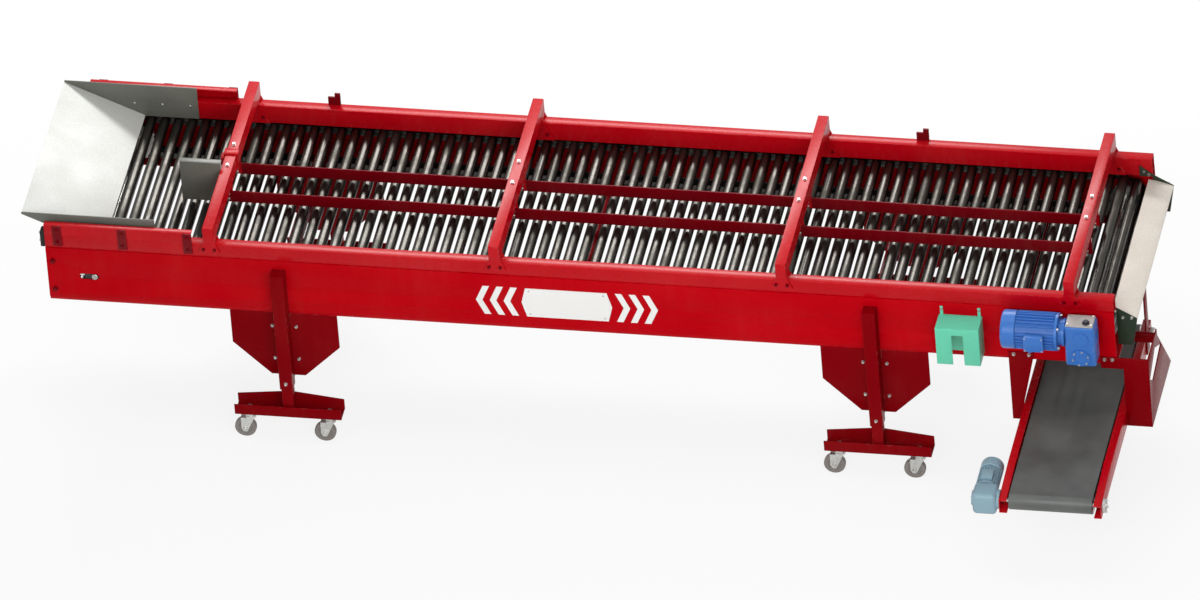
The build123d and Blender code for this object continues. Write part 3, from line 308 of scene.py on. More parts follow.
# Chain pitches from shaft to shaft, and rollers round a whole wheel.
STRAND_PITCHES, WHEEL_ROLLERS = 72, 10
PITCH = (HEAD_X - TAIL_X) / STRAND_PITCHES
PITCH_RADIUS = PITCH / (2 * sin(pi / WHEEL_ROLLERS))
TOP_Z, RETURN_Z = SHAFT_Z + PITCH_RADIUS, SHAFT_Z - PITCH_RADIUS
STRANDS = (("top", "deck_strand", TOP_Z), ("return", "return_strand", RETURN_Z))
roller_low, roller_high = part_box("top_rollers")
ROLLER_TRIM, POLE_GAP = 0.0002, 0.000005
ROLLER_RADIUS = (roller_high.z - roller_low.z) / 2 - ROLLER_TRIM
ROLLER_HALF = (roller_high.y - roller_low.y) / 2
ROD_RADIUS, ROD_OVERHANG = 0.007, 0.0115
CAP_SINK, CAP_RIM, TUBE_CORNER = 0.002, 0.005, 0.0015
ALONG_X, ALONG_Y, ALONG_Z = Vector((1, 0, 0)), Vector((0, 1, 0)), Vector((0, 0, 1))


def add_work(bm, work, place):
    """Adds a finished bit of work to the piece under way, moved to its place."""
    bmesh.ops.transform(work, matrix=place, verts=work.verts)
    mesh = bpy.data.meshes.new("work")
    work.to_mesh(mesh)
    work.free()
    bm.from_mesh(mesh)
    bpy.data.meshes.remove(mesh)


def facing(place, axis):
    """A placing at this place whose own Z points along the axis."""
    turn = Vector(axis).to_track_quat("Z", "Y").to_matrix().to_4x4()
    return Matrix.Translation(place) @ turn


def turned(bm, profile, place, axis, steps=32):
    """Lathe work: the profile is a row of (distance along the axis, radius)."""
    work = new_piece()
    points = [work.verts.new((radius, 0, along)) for along, radius in profile]
    lines = [work.edges.new(pair) for pair in zip(points, points[1:])]
    bmesh.ops.spin(
        work,
        geom=points + lines,
        cent=(0, 0, 0),
        axis=(0, 0, 1),
        angle=2 * pi,
        steps=steps,
        use_merge=True,
    )
    bmesh.ops.remove_doubles(work, verts=work.verts, dist=POLE_GAP)
    bmesh.ops.recalc_face_normals(work, faces=work.faces)
    add_work(bm, work, facing(place, axis))


def both_ends(profile):
    """A profile followed by its mirror image, for lathe work that is the same at both ends."""
    return profile + [(-along, radius) for along, radius in reversed(profile)]


def pattern_mesh(bm, name):
    """Keeps a finished bit of work as a pattern to be repeated."""
    mesh = bpy.data.meshes.new(name)
    bm.to_mesh(mesh)
    bm.free()
    return mesh


def repeated(bm, pattern, places):
    """Sets a copy of the pattern mesh at each placing."""
    for place in places:
        count = len(bm.verts)
        bm.from_mesh(pattern)
        bm.verts.ensure_lookup_table()
        bmesh.ops.transform(bm, matrix=place, verts=bm.verts[count:])


bm = new_piece()
cap_face = -ROLLER_HALF + CAP_SINK
roller_profile = [
    (-ROLLER_HALF - ROD_OVERHANG, 0.0),
    (-ROLLER_HALF - ROD_OVERHANG, ROD_RADIUS),
    (cap_face, ROD_RADIUS),
    (cap_face, ROLLER_RADIUS - CAP_RIM),
    (-ROLLER_HALF, ROLLER_RADIUS - 2 * TUBE_CORNER),
    (-ROLLER_HALF + TUBE_CORNER, ROLLER_RADIUS),
]
turned(bm, both_ends(roller_profile), (0, 0, 0), ALONG_Y, steps=18)
one_roller = pattern_mesh(bm, "one_roller")
# The tubes' steel is toned near black, as painted shade for the dark surroundings it mirrors, with a
# tarnish film over it.
ROLLER_SHADE_TONE, ROLLER_FILM = (0.062, 0.058, 0.052), (0.03, 0.03, 0.022)
roller_steel_painted_shade = bare_steel("roller_steel_painted_shade", ROLLER_SHADE_TONE, STREAKS_ALONG_Y, ROLLER_FILM, amount=0.5, gloss=0.24)
strand_x = [TAIL_X + PITCH * i for i in range(1, STRAND_PITCHES)]
for run, body, height in STRANDS:
    bm = new_piece()
    repeated(bm, one_roller, [Matrix.Translation((x, DECK_Y, height)) for x in strand_x])
    settle(bm, f"{run}_roller_tubes", body, roller_steel_painted_shade, "plain_steel", f"{run}_rollers")

# Roller chains: round-ended link plates in two layers, riveted on the rods at every pitch.
# The plates are blanked from 4 mm strip and carry a dark oily film.
link_steel = bare_steel("link_steel", (0.08, 0.075, 0.07), (9.0, 9.0, 9.0), amount=0.5, gloss=0.35)
chain_low, chain_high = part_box("top_chain")
LINK_RADIUS = (chain_high.z - chain_low.z) / 2
LINK_THICKNESS = 0.004
LAYER_STEP = chain_high.y - roller_high.y - LINK_THICKNESS
ROUND_STEPS = 16


def thickened(bm, thickness):
    """Gives a flat face that lies in the XY plane its thickness, half to each side."""
    grown = bmesh.ops.extrude_face_region(bm, geom=bm.faces[:])["geom"]
    upper = [part for part in grown if isinstance(part, bmesh.types.BMVert)]
    bmesh.ops.translate(bm, verts=upper, vec=(0, 0, thickness))
    bmesh.ops.translate(bm, verts=bm.verts, vec=(0, 0, -thickness / 2))
    bmesh.ops.recalc_face_normals(bm, faces=bm.faces)


bm = new_piece()
rim = bmesh.ops.create_circle(bm, cap_ends=True, segments=ROUND_STEPS, radius=LINK_RADIUS)["verts"]
bmesh.ops.rotate(bm, verts=rim, cent=(0, 0, 0), matrix=Matrix.Rotation(pi / ROUND_STEPS, 3, "Z"))
for hand in SIDES:
    end = [vert for vert in rim if vert.co.x * hand > 0]
    bmesh.ops.translate(bm, verts=end, vec=(hand * PITCH / 2, 0, 0))
thickened(bm, LINK_THICKNESS)
bmesh.ops.rotate(bm, verts=bm.verts, cent=(0, 0, 0), matrix=Matrix.Rotation(pi / 2, 3, "X"))
one_link = pattern_mesh(bm, "one_link")


def link_y(side, layer):
    """Middle of one layer of plates, 0 inner and 1 outer."""
    return DECK_Y + side * (ROLLER_HALF + LINK_THICKNESS / 2 + layer * LAYER_STEP)


for run, body, height in STRANDS:
    bm = new_piece()
    for i in range(STRAND_PITCHES):
        x = TAIL_X + (i + 0.5) * PITCH
        repeated(bm, one_link, [Matrix.Translation((x, link_y(side, i % 2), height)) for side in SIDES])
    settle(bm, f"{run}_chain_links", body, link_steel, "plain_steel", f"{run}_chain")

# Ends of the chain: the rollers and link plates that lie round the tail and head wheels.
# They are the same rollers and plates as in the two strands.
HALF_TURN = WHEEL_ROLLERS // 2
MID_LINK_RADIUS = PITCH_RADIUS * cos(pi / WHEEL_ROLLERS)


def round_wheel(axis_x, turn, radius, step):
    """Angle and place on the way round an end wheel, after this many steps from the top."""
    angle = step * 2 * pi / WHEEL_ROLLERS
    return angle, Vector((axis_x + turn * radius * sin(angle), DECK_Y, SHAFT_Z + radius * cos(angle)))


for node, body, axis_x, turn, first_layer in (
    ("tail_wrap_rollers", "tail_wheel", TAIL_X, -1, 1),
    ("head_wrap_rollers", "head_wheel", HEAD_X, 1, 0),
):
    bm = new_piece()
    for i in range(HALF_TURN + 1):
        angle, spot = round_wheel(axis_x, turn, PITCH_RADIUS, i)
        repeated(bm, one_roller, [Matrix.Translation(spot)])
    for i in range(HALF_TURN):
        angle, spot = round_wheel(axis_x, turn, MID_LINK_RADIUS, i + 0.5)
        for side in SIDES:
            spot.y = link_y(side, (first_layer + i) % 2)
            repeated(bm, one_link, [Matrix.Translation(spot) @ Matrix.Rotation(turn * angle, 4, "Y")])
    settle(bm, node + "_tubes", body, roller_steel_painted_shade, "plain_steel", node)

# Head and tail shafts: bright turned bars, each with two wheels that are flame cut from plate.
# Round pockets in the wheels' rims take the rollers, and hubs are keyed to the bar.
shaft_steel = bare_steel("shaft_steel", (0.4, 0.39, 0.37), STREAKS_ALONG_Y, gloss=0.22)
bearing_low, bearing_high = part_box("head_bearings")
wheel_low, wheel_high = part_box("head_shaft")
WHEEL_TRIM, WHEEL_THICKNESS, WHEEL_INSET = 0.0005, 0.01, 0.04
WHEEL_RADIUS = (wheel_high.x - wheel_low.x) / 2 - WHEEL_TRIM
POCKET_GAP = 0.0008
POCKET_RADIUS = ROLLER_RADIUS + POCKET_GAP
BAR_RADIUS, TAIL_END_RADIUS, BAR_CORNER = 0.0199, 0.0149, 0.002
BEARING_THICKNESS = 0.0227
SHOULDER = (bearing_high.y - bearing_low.y) / 2 - BEARING_THICKNESS
HUB_HALF, HUB_RADIUS = 0.018, 0.036
RIM_STEPS = 16 * WHEEL_ROLLERS


def rim_reach(turn_share):
    """Radius of the wheel's rim at this share of a turn, cut back where a roller sits."""
    off = ((turn_share * WHEEL_ROLLERS + 0.5) % 1.0 - 0.5) * 2 * pi / WHEEL_ROLLERS
    inside = POCKET_RADIUS**2 - (PITCH_RADIUS * sin(off)) ** 2
    return min(WHEEL_RADIUS, PITCH_RADIUS * cos(off) - sqrt(inside)) if inside > 0 else WHEEL_RADIUS


for node, body, axis_x, end_radius in (
    ("head_shaft", "head_wheel", HEAD_X, BAR_RADIUS),
    ("tail_shaft", "tail_wheel", TAIL_X, TAIL_END_RADIUS),
):
    bm = new_piece()
    front_end, rear_end = (corner.y - DECK_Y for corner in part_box(node))
    bar = [
        (front_end, 0.0),
        (front_end, end_radius - BAR_CORNER),
        (front_end + BAR_CORNER, end_radius),
        (-SHOULDER, end_radius),
        (-SHOULDER, BAR_RADIUS),
        (SHOULDER, BAR_RADIUS),
        (SHOULDER, end_radius),
        (rear_end - BAR_CORNER, end_radius),
        (rear_end, end_radius - BAR_CORNER),
        (rear_end, 0.0),
    ]
    turned(bm, bar, (axis_x, DECK_Y, SHAFT_Z), ALONG_Y)
    for side in SIDES:
        wheel = new_piece()
        rim = bmesh.ops.create_circle(wheel, cap_ends=True, segments=RIM_STEPS, radius=1.0)["verts"]
        for vert in rim:
            vert.co *= rim_reach(atan2(vert.co.x, vert.co.y) / (2 * pi))
        thickened(wheel, WHEEL_THICKNESS)
        spot = (axis_x, DECK_Y + side * (ROLLER_HALF - WHEEL_INSET), SHAFT_Z)
        add_work(bm, wheel, Matrix.Translation(spot) @ Matrix.Rotation(pi / 2, 4, "X"))
        hub = [(-HUB_HALF, 0.0), (-HUB_HALF, HUB_RADIUS - BAR_CORNER), (-HUB_HALF + BAR_CORNER, HUB_RADIUS)]
        turned(bm, both_ends(hub), spot, ALONG_Y, steps=28)
    settle(bm, node + "_turned", body, shaft_steel, "plain_steel", node)

# Bearings of the two shafts: cast housings painted dark, bolted inside the beams at the head.
# At the tail they slide along a slot, pulled by a long screw through a lug at the beam's end.
# The gearbox hides the bolts of the front head bearing.
casting_dark = gloss_paint("casting_dark", (0.03, 0.03, 0.034), amount=0.2, wear=0.5, gloss=0.45, shine=0.2)
zinc = bare_steel("zinc", (0.6, 0.6, 0.58), STREAKS_NOWHERE, amount=0.25, gloss=0.3)
BEARING_BOLT_REACH = 0.036
# Bottom radius, top radius, underside and top of a washer and a head, as shares of the head's width.
WASHER_SHAPE, HEAD_SHAPE = (0.62, 0.6, 0.0, 0.12), (0.54, 0.49, 0.12, 0.65)


def bolt_heads(bm, places, axis, width):
    """Hexagon heads on washers; the places are the seats, the axis points out of the seat."""
    for place in places:
        for sides, shape in ((16, WASHER_SHAPE), (6, HEAD_SHAPE)):
            radius, top_radius, low, high = (part * width for part in shape)
            lift = Matrix.Translation((0, 0, (low + high) / 2))
            bmesh.ops.create_cone(
                bm,
                cap_ends=True,
                segments=sides,
                radius1=radius,
                radius2=top_radius,
                depth=high - low,
                matrix=facing(place, axis) @ lift,
            )


def square_of(reach):
    """Offsets of four bolts in a square."""
    return [(across, up) for across in (-reach, reach) for up in (-reach, reach)]


fabricated("head_bearings", "frame", casting_dark, "cast_housing", rounding=0.003)
fabricated("take_up_blocks", "take_up", casting_dark, "cast_housing", rounding=0.003)
fabricated("take_up_screws", "take_up", zinc, "zinc_steel", rounding=0.0006, sharp=50.0)
bm = new_piece()
four = [(HEAD_X + dx, OUTER_FACE[REAR], SHAFT_Z + dz) for dx, dz in square_of(BEARING_BOLT_REACH)]
bolt_heads(bm, four, ALONG_Y, width=0.016)
settle(bm, "head_bearing_bolts", "frame", zinc, "zinc_steel")

# Guard boards and raised infeed boards: thin red sheet folded over the beams' tops.
# The raised boards stand on the guards, each held by three straps with a bolt above and below.
# Two larger bolts fill the holes at the front beam's infeed end, where a feeder is joined on.
# A darker red: the lugs' and bolts' own paint, and painted shade on the lane dividers and board straps.
dark_red_and_painted_shade = gloss_paint("dark_red_and_painted_shade", (0.16, 0.0, 0.004))
GUARD_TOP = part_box("guard_boards")[1].z
GUARD_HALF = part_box("guard_boards")[1].y - DECK_Y
GUARD_WIDTH = 0.05
GUARD_INNER = GUARD_HALF - GUARD_WIDTH
raised_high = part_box("raised_infeed_boards")[1]
STRAP_FACE = raised_high.y - DECK_Y
FIRST_STRAP_INSET, MIDDLE_STRAP_INSET, LAST_STRAP_INSET = 0.06, 0.362, 0.02
STRAP_X = (INFEED_X + FIRST_STRAP_INSET, INFEED_X + MIDDLE_STRAP_INSET, raised_high.x - LAST_STRAP_INSET)
STRAP_WIDTH, STRAP_HEIGHT, STRAP_DEPTH, STRAP_PROUD = 0.0416, 0.1116, 0.005, 0.0008
STRAP_BOLT_REACH = 0.035
END_BOLT_INSET, END_BOLT_REACH = 0.03, 0.08


def block(bm, low, high, radius, segments=2, place=Matrix()):
    """A rounded block between two corners, moved to its place."""
    work = new_piece()
    low, high = Vector(low), Vector(high)
    size = Matrix.Translation((low + high) / 2) @ Matrix.Diagonal((*(high - low), 1))
    bmesh.ops.create_cube(work, size=1, matrix=size)
    rounded(work, work.edges[:], radius, segments)
    add_work(bm, work, place)


fabricated("guard_boards", "frame", table_red, "machine_red", rounding=0.0014)
fabricated("raised_infeed_boards", "frame", table_red, "machine_red", rounding=0.0012)
# The straps and their bolts are painted in the darker red, as painted shade where the straps stand.
straps, bm = new_piece(), new_piece()
for side in SIDES:
    face = DECK_Y + side * (STRAP_FACE + STRAP_PROUD)
    near, far = sorted((face, DECK_Y + side * (STRAP_FACE - STRAP_DEPTH)))
    for x in STRAP_X:
        strap_low = (x - STRAP_WIDTH / 2, near, GUARD_TOP - STRAP_HEIGHT / 2)
        strap_high = (x + STRAP_WIDTH / 2, far, GUARD_TOP + STRAP_HEIGHT / 2)
        block(straps, strap_low, strap_high, radius=0.0015)
        for rise in (-STRAP_BOLT_REACH, STRAP_BOLT_REACH):
            bolt_heads(bm, [(x, face, GUARD_TOP + rise)], (0, side, 0), width=0.015)
settle(straps, "board_straps", "frame", dark_red_and_painted_shade, "dark_red")
for rise in (-END_BOLT_REACH, END_BOLT_REACH):
    bolt_heads(bm, [(INFEED_X + END_BOLT_INSET, OUTER_FACE[FRONT], SHAFT_Z + rise)], -ALONG_Y, width=0.02)
settle(bm, "strap_bolts", "frame", dark_red_and_painted_shade, "dark_red")

# Ears on the rear guard near the legs: a short and a tall one side by side, for lifting hooks.
# They are flame cut from 10 mm plate, welded on and painted dark.
fabricated("guard_lugs", "frame", dark_red_and_painted_shade, "dark_red", rounding=0.0015)

# Arches: rectangular tube on flared feet that straddle the guards, welded up and painted red.
# Pressed caps close the tube ends, and two bolts on each face of a foot hold it to its guard.
arch_low, arch_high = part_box("inspection_arches")
ARCH_COUNT = 4
ARCH_FOOT_SPREAD, ARCH_FOOT_PLATE = 0.15, 0.008
ARCH_BAR_WIDTH, ARCH_BAR_HEIGHT = 0.05, 0.075
ARCH_TOP, ARCH_UNDER = arch_high.z, arch_high.z - ARCH_BAR_HEIGHT
ARCH_HALF = arch_high.y - DECK_Y
ARCH_STEP = (arch_high.x - arch_low.x - ARCH_FOOT_SPREAD) / (ARCH_COUNT - 1)
ARCH_X = [arch_low.x + ARCH_FOOT_SPREAD / 2 + ARCH_STEP * i for i in range(ARCH_COUNT)]
CAP_PROUD, CAP_DEPTH, CAP_GAP = 0.003, 0.009, 0.0018
OUTER_BOLT_REACH, OUTER_BOLT_DROP = 0.026, 0.022
INNER_BOLT_REACH, INNER_BOLT_DROP = 0.045, 0.058

fabricated("inspection_arches", "frame", table_red, "machine_red", rounding=0.003, segments=3)
fabricated("splitter_clamp", "frame", table_red, "machine_red", rounding=0.002)
caps, bolts = new_piece(), new_piece()
for x in ARCH_X:
    for side in SIDES:
        end = DECK_Y + side * ARCH_HALF
        inner_foot = DECK_Y + side * (GUARD_INNER - ARCH_FOOT_PLATE)
        near, far = sorted((end + side * (CAP_PROUD - CAP_DEPTH), end + side * CAP_PROUD))
        cap_low = (x - ARCH_BAR_WIDTH / 2 + CAP_GAP, near, ARCH_UNDER + CAP_GAP)
        cap_high = (x + ARCH_BAR_WIDTH / 2 - CAP_GAP, far, ARCH_TOP - CAP_GAP)
        block(caps, cap_low, cap_high, radius=0.0025)
        for hand in SIDES:
            outer = (x + hand * OUTER_BOLT_REACH, end, GUARD_TOP - OUTER_BOLT_DROP)
            inner = (x + hand * INNER_BOLT_REACH, inner_foot, GUARD_TOP - INNER_BOLT_DROP)
            bolt_heads(bolts, [outer], (0, side, 0), width=0.014)
            bolt_heads(bolts, [inner], (0, -side, 0), width=0.014)
settle(caps, "arch_caps", "frame", table_red, "machine_red")
settle(bolts, "arch_bolts", "frame", dark_red_and_painted_shade, "dark_red")

# Lane dividers and their bent straps: boards just above the rollers, hung from the arches. The boards are
# dark red as painted shade, for the shadow they stand in.
# Zinc plated bolts go up through the arches and across through the boards.
board_low, board_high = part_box("lane_dividers")
BOARD_OUTER = board_high.y - DECK_Y
BOARD_THICKNESS, BENT_STRAP_THICKNESS, ARCH_BOLT_INSET = 0.008, 0.006, 0.016
BENT_STRAP_INNER = BOARD_OUTER - BOARD_THICKNESS - BENT_STRAP_THICKNESS
ARCH_BOLT_REACH = BENT_STRAP_INNER - ARCH_BOLT_INSET
BOARD_BOLT_RISES = (0.017, 0.044)

fabricated("lane_dividers", "frame", dark_red_and_painted_shade, "dark_red", rounding=0.002)
fabricated("divider_hangers", "frame", table_red, "machine_red", rounding=0.0015)
bm = new_piece()
for x in ARCH_X:
    for side in SIDES:
        arch_bolt_y = DECK_Y + side * ARCH_BOLT_REACH
        bolt_heads(bm, [(x, arch_bolt_y, ARCH_TOP)], ALONG_Z, width=0.015)
        bolt_heads(bm, [(x, arch_bolt_y, ARCH_UNDER - BENT_STRAP_THICKNESS)], -ALONG_Z, width=0.013)
        for rise in BOARD_BOLT_RISES:
            for reach, way in ((BENT_STRAP_INNER, -side), (BOARD_OUTER, side)):
                bolt_heads(bm, [(x, DECK_Y + side * reach, board_low.z + rise)], (0, way, 0), width=0.013)
settle(bm, "divider_bolts", "frame", zinc, "zinc_steel")

# Cross ties: square tubes between the beams at mid height, welded at both ends.
# Two flat bars lie on the bottom flanges at the cross conveyor, in the same red.
fabricated("cross_ties", "frame", table_red, "machine_red", rounding=0.0015)

# Infeed chute: a sloping floor, with two side liners and an upright splitter plate of gray sheet. The floor
# is coloured far paler than the liners, as painted light falling on its upward face.
# The liners are screwed to the guards, and all of it is dulled by earth and roots.
skin, given, made = effect_group(
    "rubber_skin",
    [
        ("Sheet", COLOUR, (0.1, 0.1, 0.1, 1)),
        ("Bloom", COLOUR, (0.3, 0.3, 0.28, 1)),
        ("Bloom Amount", NUMBER, 0.4),
        ("Gloss", NUMBER, 0.5),
        ("Grain", NUMBER, 180.0),
    ],
    SKIN_OUTPUTS,
)
place = shader_node(skin, "ShaderNodeTexCoord").outputs["Object"]
mottle = noise(skin, place, scale=5.5, detail=7.0)
grain = noise(skin, place, scale=given["Grain"], detail=3.0)
bloom = joined(skin, "MULTIPLY", share(skin, mottle, low=0.38, high=0.75), given["Bloom Amount"])
speckled = toned(skin, given["Sheet"], share(skin, grain, low=0.3, high=0.7, start=0.88, end=1.1))
skin.links.new(blended(skin, bloom, speckled, given["Bloom"]), made["Color"])
patches = share(skin, mottle, low=0.3, high=0.7, end=0.18)
skin.links.new(joined(skin, "ADD", given["Gloss"], patches), made["Roughness"])
skin.links.new(grain, made["Height"])
rubber_skin = skin


def rubber(name, colour, bloom, amount=0.35, gloss=0.45, grain=180.0, bump=0.25):
    """Rubber or dull sheet with a cloudy bloom and a fine grain."""
    values = {
        "Sheet": (*colour, 1),
        "Bloom": (*bloom, 1),
        "Bloom Amount": amount,
        "Gloss": gloss,
        "Grain": grain,
    }
    return material_with(name, rubber_skin, values, {}, bump)


chute_gray = rubber("chute_gray", (0.12, 0.125, 0.105), (0.22, 0.215, 0.18), gloss=0.34)
# The floor's paler colour is painted light from above.
chute_floor_painted_light = rubber("chute_floor_painted_light", (0.6, 0.61, 0.58), (0.48, 0.46, 0.42), amount=0.3, gloss=0.45)
LINER_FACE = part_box("infeed_chute_floor")[1].y - DECK_Y
LINER_SCREW_INSETS = (0.21, 0.34, 0.47)
LINER_SCREW_DROP = 0.022
# Height and radius up the side of a domed head, as shares of its width.
DOME_SHAPE = ((0.0, 0.5), (0.12, 0.5), (0.3, 0.36), (0.36, 0.0))


def screw_heads(bm, places, axis, width):
    """Low domed screw heads; the places are the seats, the axis points out of the seat."""
    dome = [(height * width, radius * width) for height, radius in DOME_SHAPE]
    for place in places:
        turned(bm, dome, place, axis, steps=12)


fabricated("infeed_chute_floor", "frame", chute_floor_painted_light, "gray_rubber", rounding=0.0015)
fabricated("infeed_chute_liners", "frame", chute_gray, "gray_rubber", rounding=0.0018)
fabricated("infeed_splitter_plate", "frame", chute_gray, "gray_rubber", rounding=0.0015)
bm = new_piece()
for side in SIDES:
    face = DECK_Y + side * LINER_FACE
    row = [(INFEED_X + inset, face, GUARD_TOP - LINER_SCREW_DROP) for inset in LINER_SCREW_INSETS]
    screw_heads(bm, row, (0, -side, 0), width=0.012)
settle(bm, "liner_screws", "frame", zinc, "zinc_steel")

# Infeed buffers: black rubber blocks on the guards' ends, where a box tipper or feeder comes up.
# Each is moulded in one piece and held by two bolts through its face.
buffer_black = rubber("buffer_black", (0.006, 0.006, 0.006), (0.02, 0.02, 0.018), gloss=0.75)
BUFFER_DEPTH, BUFFER_HEIGHT, BUFFER_RISE = 0.022, 0.086, -0.028
BUFFER_GAP, BUFFER_BOLT_REACH = 0.002, 0.022

blocks, bolts = new_piece(), new_piece()
for side in SIDES:
    edges = (DECK_Y + side * (GUARD_INNER + BUFFER_GAP), DECK_Y + side * (GUARD_HALF - BUFFER_GAP))
    buffer_z = GUARD_TOP + BUFFER_RISE
    buffer_low = (INFEED_X - BUFFER_DEPTH, min(edges), buffer_z - BUFFER_HEIGHT / 2)
    buffer_high = (INFEED_X, max(edges), buffer_z + BUFFER_HEIGHT / 2)
    block(blocks, buffer_low, buffer_high, radius=0.005, segments=3)
    for rise in (-BUFFER_BOLT_REACH, BUFFER_BOLT_REACH):
        spot = (buffer_low[0], sum(edges) / 2, buffer_z + rise)
        bolt_heads(bolts, [spot], -ALONG_X, width=0.012)
settle(blocks, "infeed_buffers", "frame", buffer_black, "belt_rubber")
settle(bolts, "infeed_buffer_bolts", "frame", zinc, "zinc_steel")

# Discharge apron: a pale rubber sheet past the last rollers, sagging a little over its length.
# It is held between two dark green cheek plates that are bolted inside the guards' ends.
apron_pale = rubber("apron_pale", (0.72, 0.66, 0.59), (0.5, 0.43, 0.36), amount=0.3, gloss=0.5)
cheek_green = gloss_paint("cheek_green", (0.02, 0.034, 0.02), amount=0.12, gloss=0.35)
APRON_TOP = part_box("discharge_apron")[1].z
CHEEK_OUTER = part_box("apron_brackets")[1].y - DECK_Y
CHEEK_BOLTS = ((-0.04, 0.04), (-0.018, 0.025))
APRON_BOLT_INSETS = (0.03, 0.07)
APRON_BOLT_DROP = 0.024

fabricated("discharge_apron", "frame", apron_pale, "beige_rubber", rounding=0.0012, sharp=40.0)
fabricated("apron_brackets", "frame", cheek_green, "dark_green", rounding=0.0015)
bm = new_piece()
for side in SIDES:
    for along, up in CHEEK_BOLTS:
        spot = (DISCHARGE_X + along, DECK_Y + side * LINER_FACE, APRON_TOP + up)
        bolt_heads(bm, [spot], (0, -side, 0), width=0.012)
    for inset in APRON_BOLT_INSETS:
        spot = (DISCHARGE_X + inset, DECK_Y + side * CHEEK_OUTER, APRON_TOP - APRON_BOLT_DROP)
        bolt_heads(bm, [spot], (0, side, 0), width=0.012)
settle(bm, "apron_bolts", "frame", zinc, "zinc_steel")

# Worm gearbox: an aluminium casting painted blue, bolted to the front beam by a round foot.
# Its lid is bare and pale with a dark breather plug, and a flanged cover closes the front.
motor_blue = gloss_paint("motor_blue", (0.035, 0.15, 0.48), amount=0.1, wear=0.12, gloss=0.3, shine=0.25)
lid_pale = gloss_paint("lid_pale", (0.4, 0.37, 0.35), amount=0.15, gloss=0.38, shine=0.2)
plug_dark = gloss_paint("plug_dark", (0.02, 0.02, 0.03), amount=0.1, gloss=0.4, shine=0.2)
gear_low, gear_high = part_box("main_gearbox")
motor_low, motor_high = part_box("main_motor")
GEAR_DEPTH, GEAR_FLANGE_LIP = 0.1, 0.001
GEAR_Y = gear_low.y + GEAR_DEPTH / 2
WORM_Z = (motor_low.z + motor_high.z) / 2
FOOT_LENGTH, FOOT_RADIUS, FOOT_NECK = 0.048, 0.053, 0.047
FOOT_FLANGE, FOOT_SLOPE = 0.008, 0.004
RIB_COUNT, RIB_STEP, RIB_HEIGHT, RIB_INSET = 3, 0.02, 0.006, 0.016
RIB_SINK, RIB_PROUD = 0.002, 0.0035
COVER_SINK, COVER_PROUD, COVER_RADIUS, COVER_CORNER = 0.004, 0.007, 0.044, 0.002
DISH_RADIUS, DISH_FLOOR = 0.03, 0.003
WORM_CAP_PROUD, WORM_CAP_RADIUS, WORM_CAP_SHIFT = 0.006, 0.036, 0.005
COVER_BOLTS, COVER_BOLT_RADIUS, COVER_BOLT_START = 6, 0.037, 0.3
LID_INSET, LID_DEPTH_INSET, LID_SINK, LID_TOP = 0.007, 0.006, 0.003, 0.0045
LID_BOLT_REACH = (0.054, 0.034)
PLUG_FLANGE, PLUG_FLANGE_RADIUS = 0.004, 0.017
PLUG_HEIGHT, PLUG_RADIUS, PLUG_CORNER = 0.014, 0.013, 0.002
PLUG_OFFSET = (0.028, -0.016)


def cover_edge(sink, proud, radius, corner):
    """Start of a round cover's profile: its back, its side and its rounded front edge."""
    return [(-sink, 0.0), (-sink, radius), (proud - corner, radius), (proud, radius - corner)]


bm = new_piece()
housing_low = (gear_low.x, gear_low.y, gear_low.z + GEAR_FLANGE_LIP)
housing_high = (gear_high.x, gear_low.y + GEAR_DEPTH, gear_high.z)
block(bm, housing_low, housing_high, radius=0.014, segments=4)
foot = [
    (0.0, 0.0),
    (0.0, FOOT_RADIUS),
    (FOOT_FLANGE, FOOT_RADIUS),
    (FOOT_FLANGE + FOOT_SLOPE, FOOT_NECK),
    (FOOT_LENGTH, FOOT_NECK),
    (FOOT_LENGTH, 0.0),
]
turned(bm, foot, (HEAD_X, OUTER_FACE[FRONT], SHAFT_Z), -ALONG_Y, steps=40)
for i in range(RIB_COUNT):
    z = WORM_Z + (i - RIB_COUNT / 2) * RIB_STEP
    rib_low = (gear_high.x - RIB_SINK, gear_low.y + RIB_INSET, z)
    rib_high = (gear_high.x + RIB_PROUD, gear_low.y + GEAR_DEPTH - RIB_INSET, z + RIB_HEIGHT)
    block(bm, rib_low, rib_high, radius=0.002)
cover = cover_edge(COVER_SINK, COVER_PROUD, COVER_RADIUS, COVER_CORNER)
cover += [(COVER_PROUD, DISH_RADIUS), (DISH_FLOOR, DISH_RADIUS - COVER_CORNER), (DISH_FLOOR, 0.0)]
turned(bm, cover, (HEAD_X, gear_low.y, SHAFT_Z), -ALONG_Y, steps=40)
worm_cap = cover_edge(COVER_SINK, WORM_CAP_PROUD, WORM_CAP_RADIUS, COVER_CORNER)
worm_cap += [(WORM_CAP_PROUD, 0.0)]
turned(bm, worm_cap, (HEAD_X + WORM_CAP_SHIFT, gear_low.y, WORM_Z), -ALONG_Y, steps=36)
settle(bm, "main_gearbox_casting", "frame", motor_blue, "motor_blue", "main_gearbox")

